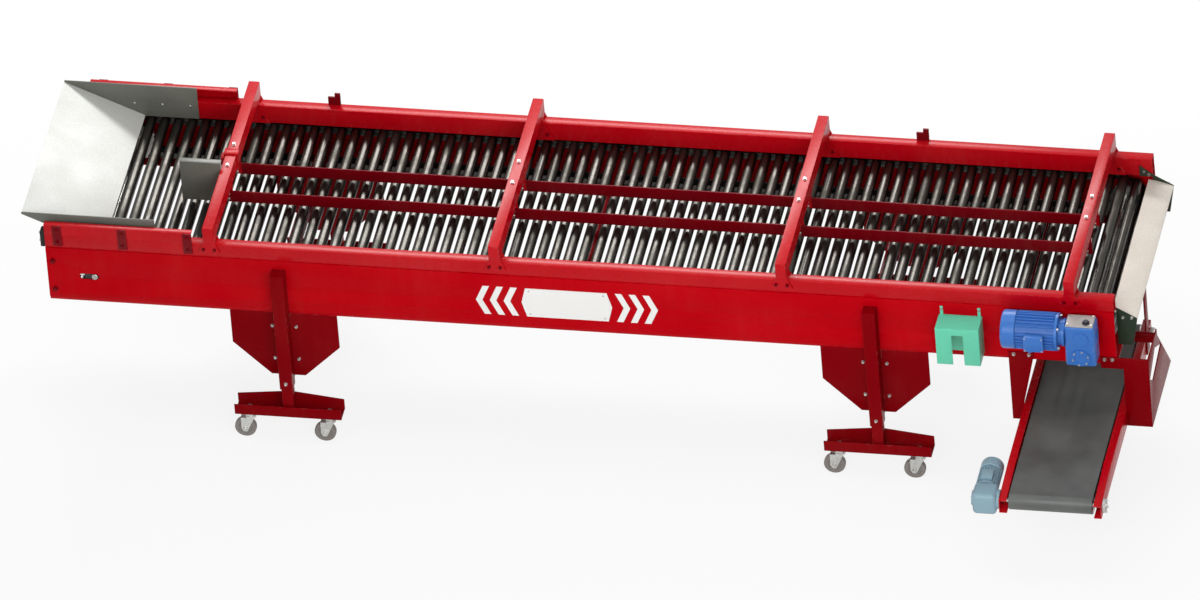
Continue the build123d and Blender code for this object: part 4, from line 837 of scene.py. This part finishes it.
bm = new_piece()
lid_low = (gear_low.x + LID_INSET, gear_low.y + LID_DEPTH_INSET, gear_high.z - LID_SINK)
lid_high = (gear_high.x - LID_INSET, gear_low.y + GEAR_DEPTH - LID_DEPTH_INSET, gear_high.z + LID_TOP)
block(bm, lid_low, lid_high, radius=0.003, segments=3)
settle(bm, "gearbox_lid", "frame", lid_pale, "gearbox_gray")
bm = new_piece()
plug = [
    (0.0, 0.0),
    (0.0, PLUG_FLANGE_RADIUS),
    (PLUG_FLANGE, PLUG_FLANGE_RADIUS),
    (PLUG_FLANGE + PLUG_CORNER, PLUG_RADIUS),
    (PLUG_HEIGHT - PLUG_CORNER, PLUG_RADIUS),
    (PLUG_HEIGHT, PLUG_RADIUS - PLUG_CORNER),
    (PLUG_HEIGHT, 0.0),
]
plug_seat = (HEAD_X + PLUG_OFFSET[0], GEAR_Y + PLUG_OFFSET[1], gear_high.z + LID_TOP)
turned(bm, plug, plug_seat, ALONG_Z, steps=24)
settle(bm, "gearbox_breather", "frame", plug_dark, "cast_housing")
bm = new_piece()
for i in range(COVER_BOLTS):
    angle = COVER_BOLT_START + i * 2 * pi / COVER_BOLTS
    ring = (COVER_BOLT_RADIUS * cos(angle), COVER_BOLT_RADIUS * sin(angle))
    spot = (HEAD_X + ring[0], gear_low.y - COVER_PROUD, SHAFT_Z + ring[1])
    bolt_heads(bm, [spot], -ALONG_Y, width=0.008)
for across in (-LID_BOLT_REACH[0], LID_BOLT_REACH[0]):
    for deep in (-LID_BOLT_REACH[1], LID_BOLT_REACH[1]):
        bolt_heads(bm, [(HEAD_X + across, GEAR_Y + deep, gear_high.z + LID_TOP)], ALONG_Z, width=0.008)
settle(bm, "gearbox_bolts", "frame", zinc, "zinc_steel")

# Main motor: a finned aluminium body with a pressed fan cowl and a terminal box, painted blue.
# It is flanged to the gearbox and lies along the front beam.
# Lengths and radii of the motor's parts, from the gearbox outwards.
MOTOR_NECK = [(0.012, 0.064), (0.018, 0.058), (0.012, 0.087)]
MOTOR_BODY, MOTOR_COWL = (0.18, 0.077), (0.068, 0.088)
MOTOR_LENGTH = sum(length for length, radius in [*MOTOR_NECK, MOTOR_BODY, MOTOR_COWL])
MOTOR_FINS, MOTOR_FIN_SIZE = 30, (0.0105, 0.0036)
FIN_SINK, FIN_START, FIN_STOP, FIN_ROUNDING = 0.004, 0.004, 0.002, 0.3
COWL_CORNER, COWL_STRAIGHT, COWL_DRAW_IN, COWL_STEPS = 0.003, 0.8, 0.16, 6
COWL_EYE, COWL_EYE_FLOOR, COWL_EYE_DEPTH = 0.5, 0.48, 0.004
BOX_SETBACK, BOX_SCREW_ROOM = 0.132, 0.0095
BOX_MIDDLE, BOX_FACE = motor_high.x - BOX_SETBACK, motor_low.y + BOX_SCREW_ROOM
BOX_HALF_LENGTH, BOX_HALF_HEIGHT, BOX_ROOT = 0.043, 0.038, 0.07
BOX_LID_EDGE, BOX_LID_DEPTH, BOX_LID_OVERLAP = 0.002, 0.0055, 0.002
BOX_SCREW_REACH = (0.038, 0.033)
GLAND = [(0.0, 0.0), (0.0, 0.011), (0.01, 0.011), (0.012, 0.009), (0.018, 0.008), (0.018, 0.0)]
GLAND_SHIFT, GLAND_REACH = 0.02, 0.088
FLANGE_START = MOTOR_NECK[0][0] + MOTOR_NECK[1][0]
FLANGE_BOLTS, FLANGE_BOLT_RADIUS = 4, 0.075
GRILLE_RADII, GRILLE_NEAR, GRILLE_FAR = (0.02, 0.03, 0.04), 0.002, 0.004
WIRE_INSIDE, WIRE_OUTSIDE = 0.003, 0.002
GRILLE_ARMS, ARM_REACH, ARM_HALF_DEPTH, ARM_HALF_WIDTH, ARM_SINK = 4, 0.042, 0.002, 0.0015, 0.001
MOTOR_END = motor_high.x - MOTOR_LENGTH


def finned_motor(bm, start, axis, neck, body, cowl, fins, fin_size):
    """Turned body and cowl along an axis, with straight fins round the body."""
    profile = [(0.0, 0.0)]
    along = 0.0
    for length, radius in neck:
        profile += [(along, radius), (along + length, radius)]
        along += length
    body_start = along
    body_length, body_radius = body
    cowl_length, cowl_radius = cowl
    along += body_length
    profile += [(body_start, body_radius), (along, body_radius), (along, cowl_radius - COWL_CORNER)]
    profile += [(along + COWL_CORNER, cowl_radius), (along + cowl_length * COWL_STRAIGHT, cowl_radius)]
    for step in range(1, COWL_STEPS + 1):
        angle = step / COWL_STEPS * pi / 2
        reach = along + cowl_length * (COWL_STRAIGHT + (1 - COWL_STRAIGHT) * sin(angle))
        profile.append((reach, cowl_radius * (1 - COWL_DRAW_IN * (1 - cos(angle)))))
    end = along + cowl_length
    eye_floor = end - COWL_EYE_DEPTH
    profile += [(end, cowl_radius * COWL_EYE), (eye_floor, cowl_radius * COWL_EYE_FLOOR), (eye_floor, 0.0)]
    turned(bm, profile, start, axis, steps=48)
    axis = Vector(axis).normalized()
    sideways = axis.cross(ALONG_Z)
    height, width = fin_size
    for i in range(fins):
        angle = (i + 0.5) * 2 * pi / fins
        out = ALONG_Z * cos(angle) + sideways * sin(angle)
        turn = Matrix((axis, out.cross(axis), out)).transposed().to_4x4()
        root = Matrix.Translation(Vector(start) + axis * body_start + out * (body_radius - FIN_SINK)) @ turn
        fin_low = (FIN_START, -width / 2, 0.0)
        fin_high = (body_length - FIN_STOP, width / 2, height + FIN_SINK)
        block(bm, fin_low, fin_high, radius=width * FIN_ROUNDING, segments=1, place=root)


bm = new_piece()
motor_start = (motor_high.x, GEAR_Y, WORM_Z)
finned_motor(bm, motor_start, -ALONG_X, MOTOR_NECK, MOTOR_BODY, MOTOR_COWL, MOTOR_FINS, MOTOR_FIN_SIZE)
lid_back = BOX_FACE + BOX_LID_DEPTH
box_low = Vector((BOX_MIDDLE - BOX_HALF_LENGTH, lid_back - BOX_LID_OVERLAP, WORM_Z - BOX_HALF_HEIGHT))
box_high = Vector((BOX_MIDDLE + BOX_HALF_LENGTH, GEAR_Y - BOX_ROOT, WORM_Z + BOX_HALF_HEIGHT))
block(bm, box_low, box_high, radius=0.005, segments=3)
lid_low = (box_low.x - BOX_LID_EDGE, BOX_FACE, box_low.z - BOX_LID_EDGE)
lid_high = (box_high.x + BOX_LID_EDGE, lid_back, box_high.z + BOX_LID_EDGE)
block(bm, lid_low, lid_high, radius=0.002)
turned(bm, GLAND, (BOX_MIDDLE - GLAND_SHIFT, GEAR_Y - GLAND_REACH, box_low.z), -ALONG_Z, steps=20)
settle(bm, "main_motor_casting", "frame", motor_blue, "motor_blue", "main_motor")
bm = new_piece()
for hand in SIDES:
    for up in SIDES:
        spot = (BOX_MIDDLE + hand * BOX_SCREW_REACH[0], BOX_FACE, WORM_Z + up * BOX_SCREW_REACH[1])
        bolt_heads(bm, [spot], -ALONG_Y, width=0.006)
for i in range(FLANGE_BOLTS):
    angle = pi / 4 + i * 2 * pi / FLANGE_BOLTS
    ring = (FLANGE_BOLT_RADIUS * cos(angle), FLANGE_BOLT_RADIUS * sin(angle))
    spot = (motor_high.x - FLANGE_START, GEAR_Y + ring[0], WORM_Z + ring[1])
    bolt_heads(bm, [spot], ALONG_X, width=0.012)
settle(bm, "main_motor_screws", "frame", zinc, "zinc_steel")
bm = new_piece()
for radius in GRILLE_RADII:
    inside, outside = radius - WIRE_INSIDE, radius + WIRE_OUTSIDE
    wire = [(-GRILLE_NEAR, inside), (-GRILLE_FAR, inside), (-GRILLE_FAR, outside), (-GRILLE_NEAR, outside)]
    turned(bm, wire + wire[:1], (MOTOR_END, GEAR_Y, WORM_Z), ALONG_X, steps=32)
arm_high = Vector((ARM_HALF_DEPTH, ARM_HALF_WIDTH, ARM_REACH))
for i in range(GRILLE_ARMS):
    turn = Matrix.Rotation(i * pi / GRILLE_ARMS, 4, "X")
    arm_place = Matrix.Translation((MOTOR_END + ARM_SINK, GEAR_Y, WORM_Z)) @ turn
    block(bm, -arm_high, arm_high, radius=0.0005, segments=1, place=arm_place)
settle(bm, "main_motor_grille", "frame", plug_dark, "motor_blue")

# Hood: a box folded from green painted sheet, open below and slotted up the front.
# It hangs on the front beam by two lugs with a bolt in each.
hood_green = gloss_paint("hood_green", (0.12, 0.58, 0.38), dust=(0.4, 0.45, 0.38), gloss=0.3, shine=0.3)
hood_low, hood_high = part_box("control_hood")
HOOD_LUG_INSET, HOOD_LUG_DROP, HOOD_WALL = 0.014, 0.014, 0.004

fabricated("control_hood", "frame", hood_green, "hood_green", rounding=0.0016)
bm = new_piece()
for x in (hood_low.x + HOOD_LUG_INSET, hood_high.x - HOOD_LUG_INSET):
    bolt_heads(bm, [(x, OUTER_FACE[FRONT] - HOOD_WALL, hood_high.z - HOOD_LUG_DROP)], -ALONG_Y, width=0.011)
settle(bm, "hood_bolts", "frame", zinc, "zinc_steel")

# Leg posts and gussets: square tube welded up the beams' outer faces, over pentagon plates below.
# Four bolts beside the post go through each plate, and one through the post's foot locks the height.
# This red is less than half as light as the table's: painted shade on the legs, feet, hangers and catch
# plate, which light from above hardly reaches.
low_parts_painted_shade_red = gloss_paint("low_parts_painted_shade_red", (0.21, 0.0002, 0.003), amount=0.03, shine=0.02)
post_low, post_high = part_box("leg_posts")
POST_SIZE = OUTER_FACE[FRONT] - post_low.y
LIP_DEPTH, LIP_HEIGHT = 0.012, 0.028
GUSSET_BOLT_REACH, GUSSET_BOLT_DROPS = 0.055, (0.075, 0.26)
LOCK_BOLT_RISE = 0.035
LEG_SIDES = {"front_infeed": FRONT, "front_discharge": FRONT, "rear_infeed": REAR, "rear_discharge": REAR}


def leg_middle(leg):
    """The post's axis, halfway between the two casters."""
    return (pivots[f"{leg}_left_swivel"] + pivots[f"{leg}_right_swivel"]) / 2


def weld(bm, start, end, size=0.006, overlap=1.35):
    """A bead laid in overlapping drops along a line."""
    start, end = Vector(start), Vector(end)
    count = round((end - start).length / size)
    drop = Matrix.Diagonal((1.0, 1.0, overlap, 1.0))
    for i in range(count):
        place = facing(start.lerp(end, (i + 0.5) / count), end - start) @ drop
        bmesh.ops.create_uvsphere(bm, u_segments=7, v_segments=4, radius=size / 2, matrix=place)


fabricated("leg_posts", "frame", low_parts_painted_shade_red, "machine_red", rounding=0.003, segments=3)
fabricated("leg_gussets", "frame", low_parts_painted_shade_red, "machine_red", rounding=0.0018)
beads, bolts = new_piece(), new_piece()
for leg, side in LEG_SIDES.items():
    axis = leg_middle(leg)
    plate = OUTER_FACE[side] - side * LIP_DEPTH
    for hand in SIDES:
        corner = (axis.x + hand * POST_SIZE / 2, OUTER_FACE[side])
        weld(beads, (*corner, BEAM_BOTTOM + LIP_HEIGHT), (*corner, post_high.z))
        for drop in GUSSET_BOLT_DROPS:
            spot = (axis.x + hand * GUSSET_BOLT_REACH, plate, BEAM_BOTTOM - drop)
            bolt_heads(bolts, [spot], (0, side, 0), width=0.013)
    lock = (axis.x, OUTER_FACE[side] + side * POST_SIZE, post_low.z + LOCK_BOLT_RISE)
    bolt_heads(bolts, [lock], (0, side, 0), width=0.013)
settle(beads, "post_welds", "frame", low_parts_painted_shade_red, "machine_red")
settle(bolts, "leg_bolts", "frame", zinc, "zinc_steel")

# Feet and casters: inner tubes that slide in the posts, welded on folded channels.
# A swivel caster is nutted on under each end, with a zinc plated fork and a gray rubber tyre.
wheel_gray = rubber("wheel_gray", (0.19, 0.17, 0.155), (0.3, 0.28, 0.26), amount=0.5, gloss=0.5, bump=0.15)
NUT_SEAT_RISE, RACE_DROP = 0.011, 0.037
AXLE_NUT_REACH = 0.021
tyre_low, tyre_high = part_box("front_infeed_left_wheel")
TYRE_TRIM, TYRE_HALF, TREAD_DROP = 0.0002, 0.0155, 0.001
TREAD_RADIUS = (tyre_high.z - tyre_low.z) / 2 - TYRE_TRIM
# Depth from a wheel's side and radius: the hub cap, the dish, the rim's lip, the sidewall and the tread.
WHEEL_SIDE = [(0.0, 0.0), (0.0, 0.011), (0.0025, 0.012), (0.0045, 0.029), (0.001, 0.032), (0.0, 0.044)]
WHEEL_SIDE += [(0.0035, TREAD_RADIUS - TREAD_DROP), (0.0105, TREAD_RADIUS)]
TYRE = [(depth - TYRE_HALF, radius) for depth, radius in WHEEL_SIDE]
# Two pressed races with the gap of the ball ring between them: height and radius from the fork's crown up.
LOWER_RACE = [(0.001, 0.0), (0.001, 0.026), (0.006, 0.027), (0.014, 0.026), (0.0145, 0.022)]
UPPER_RACE = [(0.022, 0.022), (0.023, 0.027), (0.03, 0.027), (0.033, 0.02), (0.0365, 0.02), (0.0365, 0.0)]

# The feet take the same darker red, as painted shade.
for leg in LEG_SIDES:
    fabricated(f"{leg}_foot", f"{leg}_foot", low_parts_painted_shade_red, "machine_red", rounding=0.0018)
    nuts = new_piece()
    for hand in ("left", "right"):
        fork, wheel = f"{leg}_{hand}_fork", f"{leg}_{hand}_wheel"
        pivot, axle = pivots[f"{leg}_{hand}_swivel"], pivots[f"{leg}_{hand}_roll"]
        bolt_heads(nuts, [pivot + NUT_SEAT_RISE * ALONG_Z], ALONG_Z, width=0.024)
        fabricated(fork, fork, zinc, "zinc_steel", rounding=0.0012)
        bm = new_piece()
        turned(bm, LOWER_RACE + UPPER_RACE, pivot - RACE_DROP * ALONG_Z, ALONG_Z, steps=28)
        for way in SIDES:
            bolt_heads(bm, [axle + way * AXLE_NUT_REACH * ALONG_Y], (0, way, 0), width=0.016)
        settle(bm, f"{fork}_race", fork, zinc, "zinc_steel")
        bm = new_piece()
        turned(bm, both_ends(TYRE), axle, ALONG_Y, steps=40)
        settle(bm, f"{wheel}_tyre", wheel, wheel_gray, "wheel_gray", wheel)
    settle(nuts, f"{leg}_caster_nuts", f"{leg}_foot", zinc, "zinc_steel")

# Cross conveyor: two folded red rails with sloping noses that carry a black belt over two drums.
# The drums are turned steel on through shafts, in cast bearings bolted outside the rails.
BELT_TONE, BELT_SCUFF = (0.075, 0.08, 0.076), (0.15, 0.155, 0.145)
belt_black = rubber("belt_black", BELT_TONE, BELT_SCUFF, amount=0.6, gloss=0.38, grain=260.0)
drum_steel = bare_steel("drum_steel", (0.5, 0.49, 0.47), STREAKS_ALONG_X, gloss=0.2)
casting_pale = gloss_paint("casting_pale", (0.5, 0.48, 0.47), amount=0.2, wear=0.4, gloss=0.4, shine=0.3)
rail_low, rail_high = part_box("cross_rails")
belt_low, belt_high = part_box("cross_belt")
housing_low, housing_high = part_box("cross_bearings")
DRUM_HALF = (belt_high.x - belt_low.x) / 2
drum_low, drum_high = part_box("cross_tail_drum")
DRUM_TRIM, DRUM_CROWN, DRUM_EDGE = 0.0002, 0.0038, 0.002
DRUM_RADIUS = (drum_high.z - drum_low.z) / 2 - DRUM_TRIM
DRUM_SHAFT_RADIUS, DRUM_SHAFT_CORNER = 0.0124, 0.001
DRUM_BOLT_REACH = 0.0185

fabricated("cross_rails", "frame", table_red, "machine_red", rounding=0.0013)
fabricated("cross_belt", "frame", belt_black, "belt_rubber", rounding=0.0012, sharp=40.0)
fabricated("cross_bearings", "frame", casting_pale, "cast_housing", rounding=0.004)
bolts = new_piece()
for node, body in (("cross_drive_drum", "cross_drive"), ("cross_tail_drum", "cross_tail")):
    axis = pivots[f"{body}_turn"]
    left, right = (corner.x - axis.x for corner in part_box(node))
    profile = [
        (left, 0.0),
        (left, DRUM_SHAFT_RADIUS - DRUM_SHAFT_CORNER),
        (left + DRUM_SHAFT_CORNER, DRUM_SHAFT_RADIUS),
        (-DRUM_HALF, DRUM_SHAFT_RADIUS),
        (-DRUM_HALF, DRUM_RADIUS - DRUM_CROWN),
        (-DRUM_HALF + DRUM_EDGE, DRUM_RADIUS),
        (DRUM_HALF - DRUM_EDGE, DRUM_RADIUS),
        (DRUM_HALF, DRUM_RADIUS - DRUM_CROWN),
        (DRUM_HALF, DRUM_SHAFT_RADIUS),
        (right - DRUM_SHAFT_CORNER, DRUM_SHAFT_RADIUS),
        (right, DRUM_SHAFT_RADIUS - DRUM_SHAFT_CORNER),
        (right, 0.0),
    ]
    bm = new_piece()
    turned(bm, profile, axis, ALONG_X, steps=40)
    settle(bm, node + "_turned", body, drum_steel, "plain_steel", node)
    for across, up in square_of(DRUM_BOLT_REACH):
        bolt_heads(bolts, [(housing_high.x, axis.y + across, axis.z + up)], ALONG_X, width=0.01)
        # The gearmotor stands where the drive drum's left bearing would be.
        if body == "cross_tail":
            bolt_heads(bolts, [(housing_low.x, axis.y + across, axis.z + up)], -ALONG_X, width=0.01)
settle(bolts, "drum_bearing_bolts", "frame", zinc, "zinc_steel")

# Cross gearmotor: a small pale blue worm gearbox on the left rail, with its motor lying back.
# Both are aluminium castings, and a round boss seats the gearbox on the rail.
# The drum's shaft goes right through the gearbox and shows in the bore of its end cover.
pale_blue = gloss_paint("pale_blue", (0.23, 0.36, 0.43), amount=0.12, wear=0.08, gloss=0.34, shine=0.3)
drive_low, drive_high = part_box("cross_gearmotor")
drive = pivots["cross_drive_turn"]
DRIVE_TRIM = 0.001
DRIVE_HALF = drive.y - drive_low.y - DRIVE_TRIM
CASE_INSET, CASE_BOSS_ROOM = 0.006, 0.012
DRIVE_BOSS, DRIVE_BOSS_RADIUS = 0.018, 0.044
DRIVE_COVER, DRIVE_COVER_RADIUS, DRIVE_BOLT_REACH = 0.01, 0.036, 0.019
DRIVE_BORE_DEPTH, DRIVE_BORE_RADIUS = 0.005, 0.0155
DRIVE_NECK, DRIVE_BODY, DRIVE_COWL = [(0.01, 0.05)], (0.12, 0.0455), (0.058, 0.0525)
DRIVE_FINS, DRIVE_FIN_SIZE = 22, (0.0068, 0.0028)
DRIVE_MOTOR_INSET = 0.053
DRIVE_MOTOR_X = drive_low.x + DRIVE_MOTOR_INSET
DRIVE_BOX_HALF, DRIVE_BOX_SPAN, DRIVE_BOX_RISE = 0.027, (0.075, 0.14), (0.04, 0.0605)

bm = new_piece()
case_low = (drive_low.x + CASE_INSET, drive.y - DRIVE_HALF, drive.z - DRIVE_HALF)
case_high = (drive_high.x - CASE_BOSS_ROOM, drive.y + DRIVE_HALF, drive.z + DRIVE_HALF)
block(bm, case_low, case_high, radius=0.02, segments=4)
boss = [(0.0, 0.0), (0.0, DRIVE_BOSS_RADIUS), (DRIVE_BOSS, DRIVE_BOSS_RADIUS), (DRIVE_BOSS, 0.0)]
turned(bm, boss, (drive_high.x - DRIVE_BOSS, drive.y, drive.z), ALONG_X, steps=36)
bore_floor = DRIVE_COVER - DRIVE_BORE_DEPTH
end_cover = cover_edge(0.0, DRIVE_COVER, DRIVE_COVER_RADIUS, COVER_CORNER)
end_cover += [(DRIVE_COVER, DRIVE_BORE_RADIUS), (bore_floor, DRIVE_BORE_RADIUS), (bore_floor, 0.0)]
turned(bm, end_cover, (drive_low.x + DRIVE_COVER, drive.y, drive.z), -ALONG_X, steps=36)
motor_start = (DRIVE_MOTOR_X, drive.y + DRIVE_HALF + DRIVE_TRIM, drive.z)
finned_motor(bm, motor_start, ALONG_Y, DRIVE_NECK, DRIVE_BODY, DRIVE_COWL, DRIVE_FINS, DRIVE_FIN_SIZE)
box_low = (DRIVE_MOTOR_X - DRIVE_BOX_HALF, drive.y + DRIVE_BOX_SPAN[0], drive.z + DRIVE_BOX_RISE[0])
box_high = (DRIVE_MOTOR_X + DRIVE_BOX_HALF, drive.y + DRIVE_BOX_SPAN[1], drive.z + DRIVE_BOX_RISE[1])
block(bm, box_low, box_high, radius=0.004)
settle(bm, "cross_gearmotor_casting", "frame", pale_blue, "pale_blue", "cross_gearmotor")
bm = new_piece()
for across, up in square_of(DRIVE_BOLT_REACH):
    bolt_heads(bm, [(drive_low.x, drive.y + across, drive.z + up)], -ALONG_X, width=0.007)
settle(bm, "cross_gearmotor_bolts", "frame", zinc, "zinc_steel")

# Conveyor hangers and catch plate: flame-cut plates that carry the cross conveyor under the deck.
# They are bolted to the front beam and welded to the rails and to each other, in the darker red that is
# painted shade under the deck.
hanger_low, hanger_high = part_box("conveyor_hangers")
HANGER_BOLT_DROP = 0.011
LEFT_BOLT_INSETS, RIGHT_BOLT_INSETS = (0.025, 0.095), (0.02, 0.055)
WELD_STOP = 0.006

fabricated("conveyor_hangers", "frame", low_parts_painted_shade_red, "machine_red", rounding=0.0014)
fabricated("catch_plate", "frame", low_parts_painted_shade_red, "machine_red", rounding=0.0006)
bm = new_piece()
bolt_x = [hanger_low.x + inset for inset in LEFT_BOLT_INSETS]
bolt_x += [DISCHARGE_X - inset for inset in RIGHT_BOLT_INSETS]
bolt_heads(bm, [(x, hanger_low.y, hanger_high.z - HANGER_BOLT_DROP) for x in bolt_x], -ALONG_Y, width=0.014)
settle(bm, "hanger_bolts", "frame", zinc, "zinc_steel")
bm = new_piece()
for x in (rail_low.x, rail_high.x):
    weld(bm, (x, hanger_low.y, rail_low.z + WELD_STOP), (x, hanger_low.y, rail_high.z - WELD_STOP))
corner = (hanger_high.x, OUTER_FACE[FRONT])
weld(bm, (*corner, hanger_low.z + WELD_STOP), (*corner, hanger_high.z - WELD_STOP))
settle(bm, "hanger_welds", "frame", low_parts_painted_shade_red, "machine_red")

# Name plate: a bare white six-sided sheet riveted to the front beam at its middle.
# Three white chevrons are painted on the beam at each side of it.
PLATE_TONE, PLATE_DUST = (0.82, 0.82, 0.8), (0.5, 0.45, 0.4)
plate_white = gloss_paint("plate_white", PLATE_TONE, PLATE_DUST, amount=0.12, wear=0.0, gloss=0.3)
PLATE_INSET, PLATE_LIFT = 2.404, 0.008
PLATE_X, PLATE_Z = INFEED_X + PLATE_INSET, SHAFT_Z + PLATE_LIFT
PLATE_TIP, PLATE_FLAT, PLATE_RISE = 0.209, 0.188, 0.08
PLATE_THICKNESS, CHEVRON_THICKNESS = 0.002, 0.0006
CHEVRON_COUNT, CHEVRON_START, CHEVRON_STEP = 3, 0.226, 0.064
CHEVRON_BAND, CHEVRON_POINT = 0.03, 0.036
RIVET_REACH = (0.172, 0.064)


def flat_plate(bm, outline, thickness):
    """A thin plate on the front beam's face, cut to this outline of (x, z)."""
    corners = [bm.verts.new((PLATE_X + x, OUTER_FACE[FRONT], PLATE_Z + z)) for x, z in outline]
    grown = bmesh.ops.extrude_face_region(bm, geom=[bm.faces.new(corners)])["geom"]
    front = [part for part in grown if isinstance(part, bmesh.types.BMVert)]
    bmesh.ops.translate(bm, verts=front, vec=(0, -thickness, 0))


bm = new_piece()
upper = [(-PLATE_TIP, 0), (-PLATE_FLAT, PLATE_RISE), (PLATE_FLAT, PLATE_RISE)]
flat_plate(bm, upper + [(-x, -z) for x, z in upper], PLATE_THICKNESS)
for hand in SIDES:
    for i in range(CHEVRON_COUNT):
        near = CHEVRON_START + i * CHEVRON_STEP
        arrow = [(0, PLATE_RISE), (CHEVRON_BAND, PLATE_RISE), (CHEVRON_BAND + CHEVRON_POINT, 0)]
        arrow += [(CHEVRON_BAND, -PLATE_RISE), (0, -PLATE_RISE), (CHEVRON_POINT, 0)]
        flat_plate(bm, [(hand * (near + x), z) for x, z in arrow], CHEVRON_THICKNESS)
bmesh.ops.recalc_face_normals(bm, faces=bm.faces)
settle(bm, "name_plate", "frame", plate_white, "machine_red")
bm = new_piece()
for hand in SIDES:
    for up in SIDES:
        x, z = PLATE_X + hand * RIVET_REACH[0], PLATE_Z + up * RIVET_REACH[1]
        screw_heads(bm, [(x, OUTER_FACE[FRONT] - PLATE_THICKNESS, z)], -ALONG_Y, width=0.009)
settle(bm, "name_plate_rivets", "frame", zinc, "zinc_steel")

# Studio: a camera at the photograph's angle, far off with a long lens, over a pale floor.
# A long soft box behind gives the top faces their sheen; two more light the front and the tops.
CAMERA_RIGHT = Vector((0.9807, 0.1836, -0.0671)).normalized()
CAMERA_UP = Vector((-0.0605, 0.6116, 0.7889))
FRAME_MIDDLE, FRAME_WIDTH = Vector((-0.053, 0.313, 0.4446)), 5.457
LENS, SENSOR = 820.0, 36.0
VIEW_DEPTH = 400.0
FLOOR_HALF, FLOOR_GRAY, FLOOR_ROUGHNESS, FLOOR_GLOW = 40.0, 0.8, 0.9, 0.85
ROOM_LIGHT = 0.42

back = CAMERA_RIGHT.cross(CAMERA_UP).normalized()
camera = bpy.data.cameras.new("camera")
camera.lens = LENS
camera.sensor_width = SENSOR
camera.clip_end = VIEW_DEPTH
viewer = bpy.data.objects.new("camera", camera)
bpy.context.scene.collection.objects.link(viewer)
stand = FRAME_MIDDLE + back * (LENS / SENSOR * FRAME_WIDTH)
axes = Matrix((CAMERA_RIGHT, back.cross(CAMERA_RIGHT), back)).transposed().to_4x4()
viewer.matrix_world = Matrix.Translation(stand) @ axes
bpy.context.scene.camera = viewer


def seen_directly(tree):
    """1 for rays that look at the background straight, in a mirror or through glass, else 0."""
    ray = shader_node(tree, "ShaderNodeLightPath").outputs
    return joined(tree, "MAXIMUM", ray["Is Camera Ray"], ray["Is Glossy Ray"], ray["Is Transmission Ray"])


bm = new_piece()
bmesh.ops.create_grid(bm, x_segments=1, y_segments=1, size=FLOOR_HALF)
floor_mesh = pattern_mesh(bm, "floor")
floor = bpy.data.objects.new("floor", floor_mesh)
bpy.context.scene.collection.objects.link(floor)
floor_white = bpy.data.materials.new("floor_white")
floor_white.use_nodes = True
tree = floor_white.node_tree
matt = tree.nodes["Principled BSDF"]
matt.inputs["Base Color"].default_value = (FLOOR_GRAY, FLOOR_GRAY, FLOOR_GRAY, 1)
matt.inputs["Roughness"].default_value = FLOOR_ROUGHNESS
glow = shader_node(tree, "ShaderNodeEmission", {"Color": (1, 1, 1, 1), "Strength": 1.0})
glowing = joined(tree, "MULTIPLY", seen_directly(tree), FLOOR_GLOW)
mixed = shader_node(tree, "ShaderNodeMixShader", {0: glowing})
tree.links.new(matt.outputs[0], mixed.inputs[1])
tree.links.new(glow.outputs[0], mixed.inputs[2])
tree.links.new(mixed.outputs[0], tree.nodes["Material Output"].inputs["Surface"])
floor_mesh.materials.append(floor_white)

sky = bpy.data.worlds.new("studio")
bpy.context.scene.world = sky
sky.use_nodes = True
tree = sky.node_tree
level = share(tree, seen_directly(tree), low=0.0, high=1.0, start=ROOM_LIGHT)
tree.nodes["Background"].inputs["Color"].default_value = (1, 1, 1, 1)
tree.links.new(level, tree.nodes["Background"].inputs["Strength"])


def soft_box(name, place, target, width, height, power):
    """A rectangular lamp at a place, turned to a target."""
    lamp = bpy.data.lights.new(name, "AREA")
    lamp.shape = "RECTANGLE"
    lamp.size = width
    lamp.size_y = height
    lamp.energy = power
    holder = bpy.data.objects.new(name, lamp)
    aim = (Vector(target) - Vector(place)).to_track_quat("-Z", "Y").to_matrix().to_4x4()
    holder.matrix_world = Matrix.Translation(place) @ aim
    bpy.context.scene.collection.objects.link(holder)


soft_box("back_box", (-1.1, 5.6, 5.3), target=(0, 0.3, 0.9), width=6.0, height=1.0, power=460.0)
soft_box("front_box", (1.5, -6.0, 4.5), target=(0, 0, 0.6), width=6.0, height=3.0, power=305.0)
soft_box("top_box", (0.3, -0.2, 6.5), target=(0.3, 0, 0.9), width=6.0, height=2.0, power=80.0)

bpy.context.scene.view_settings.view_transform = "Standard"
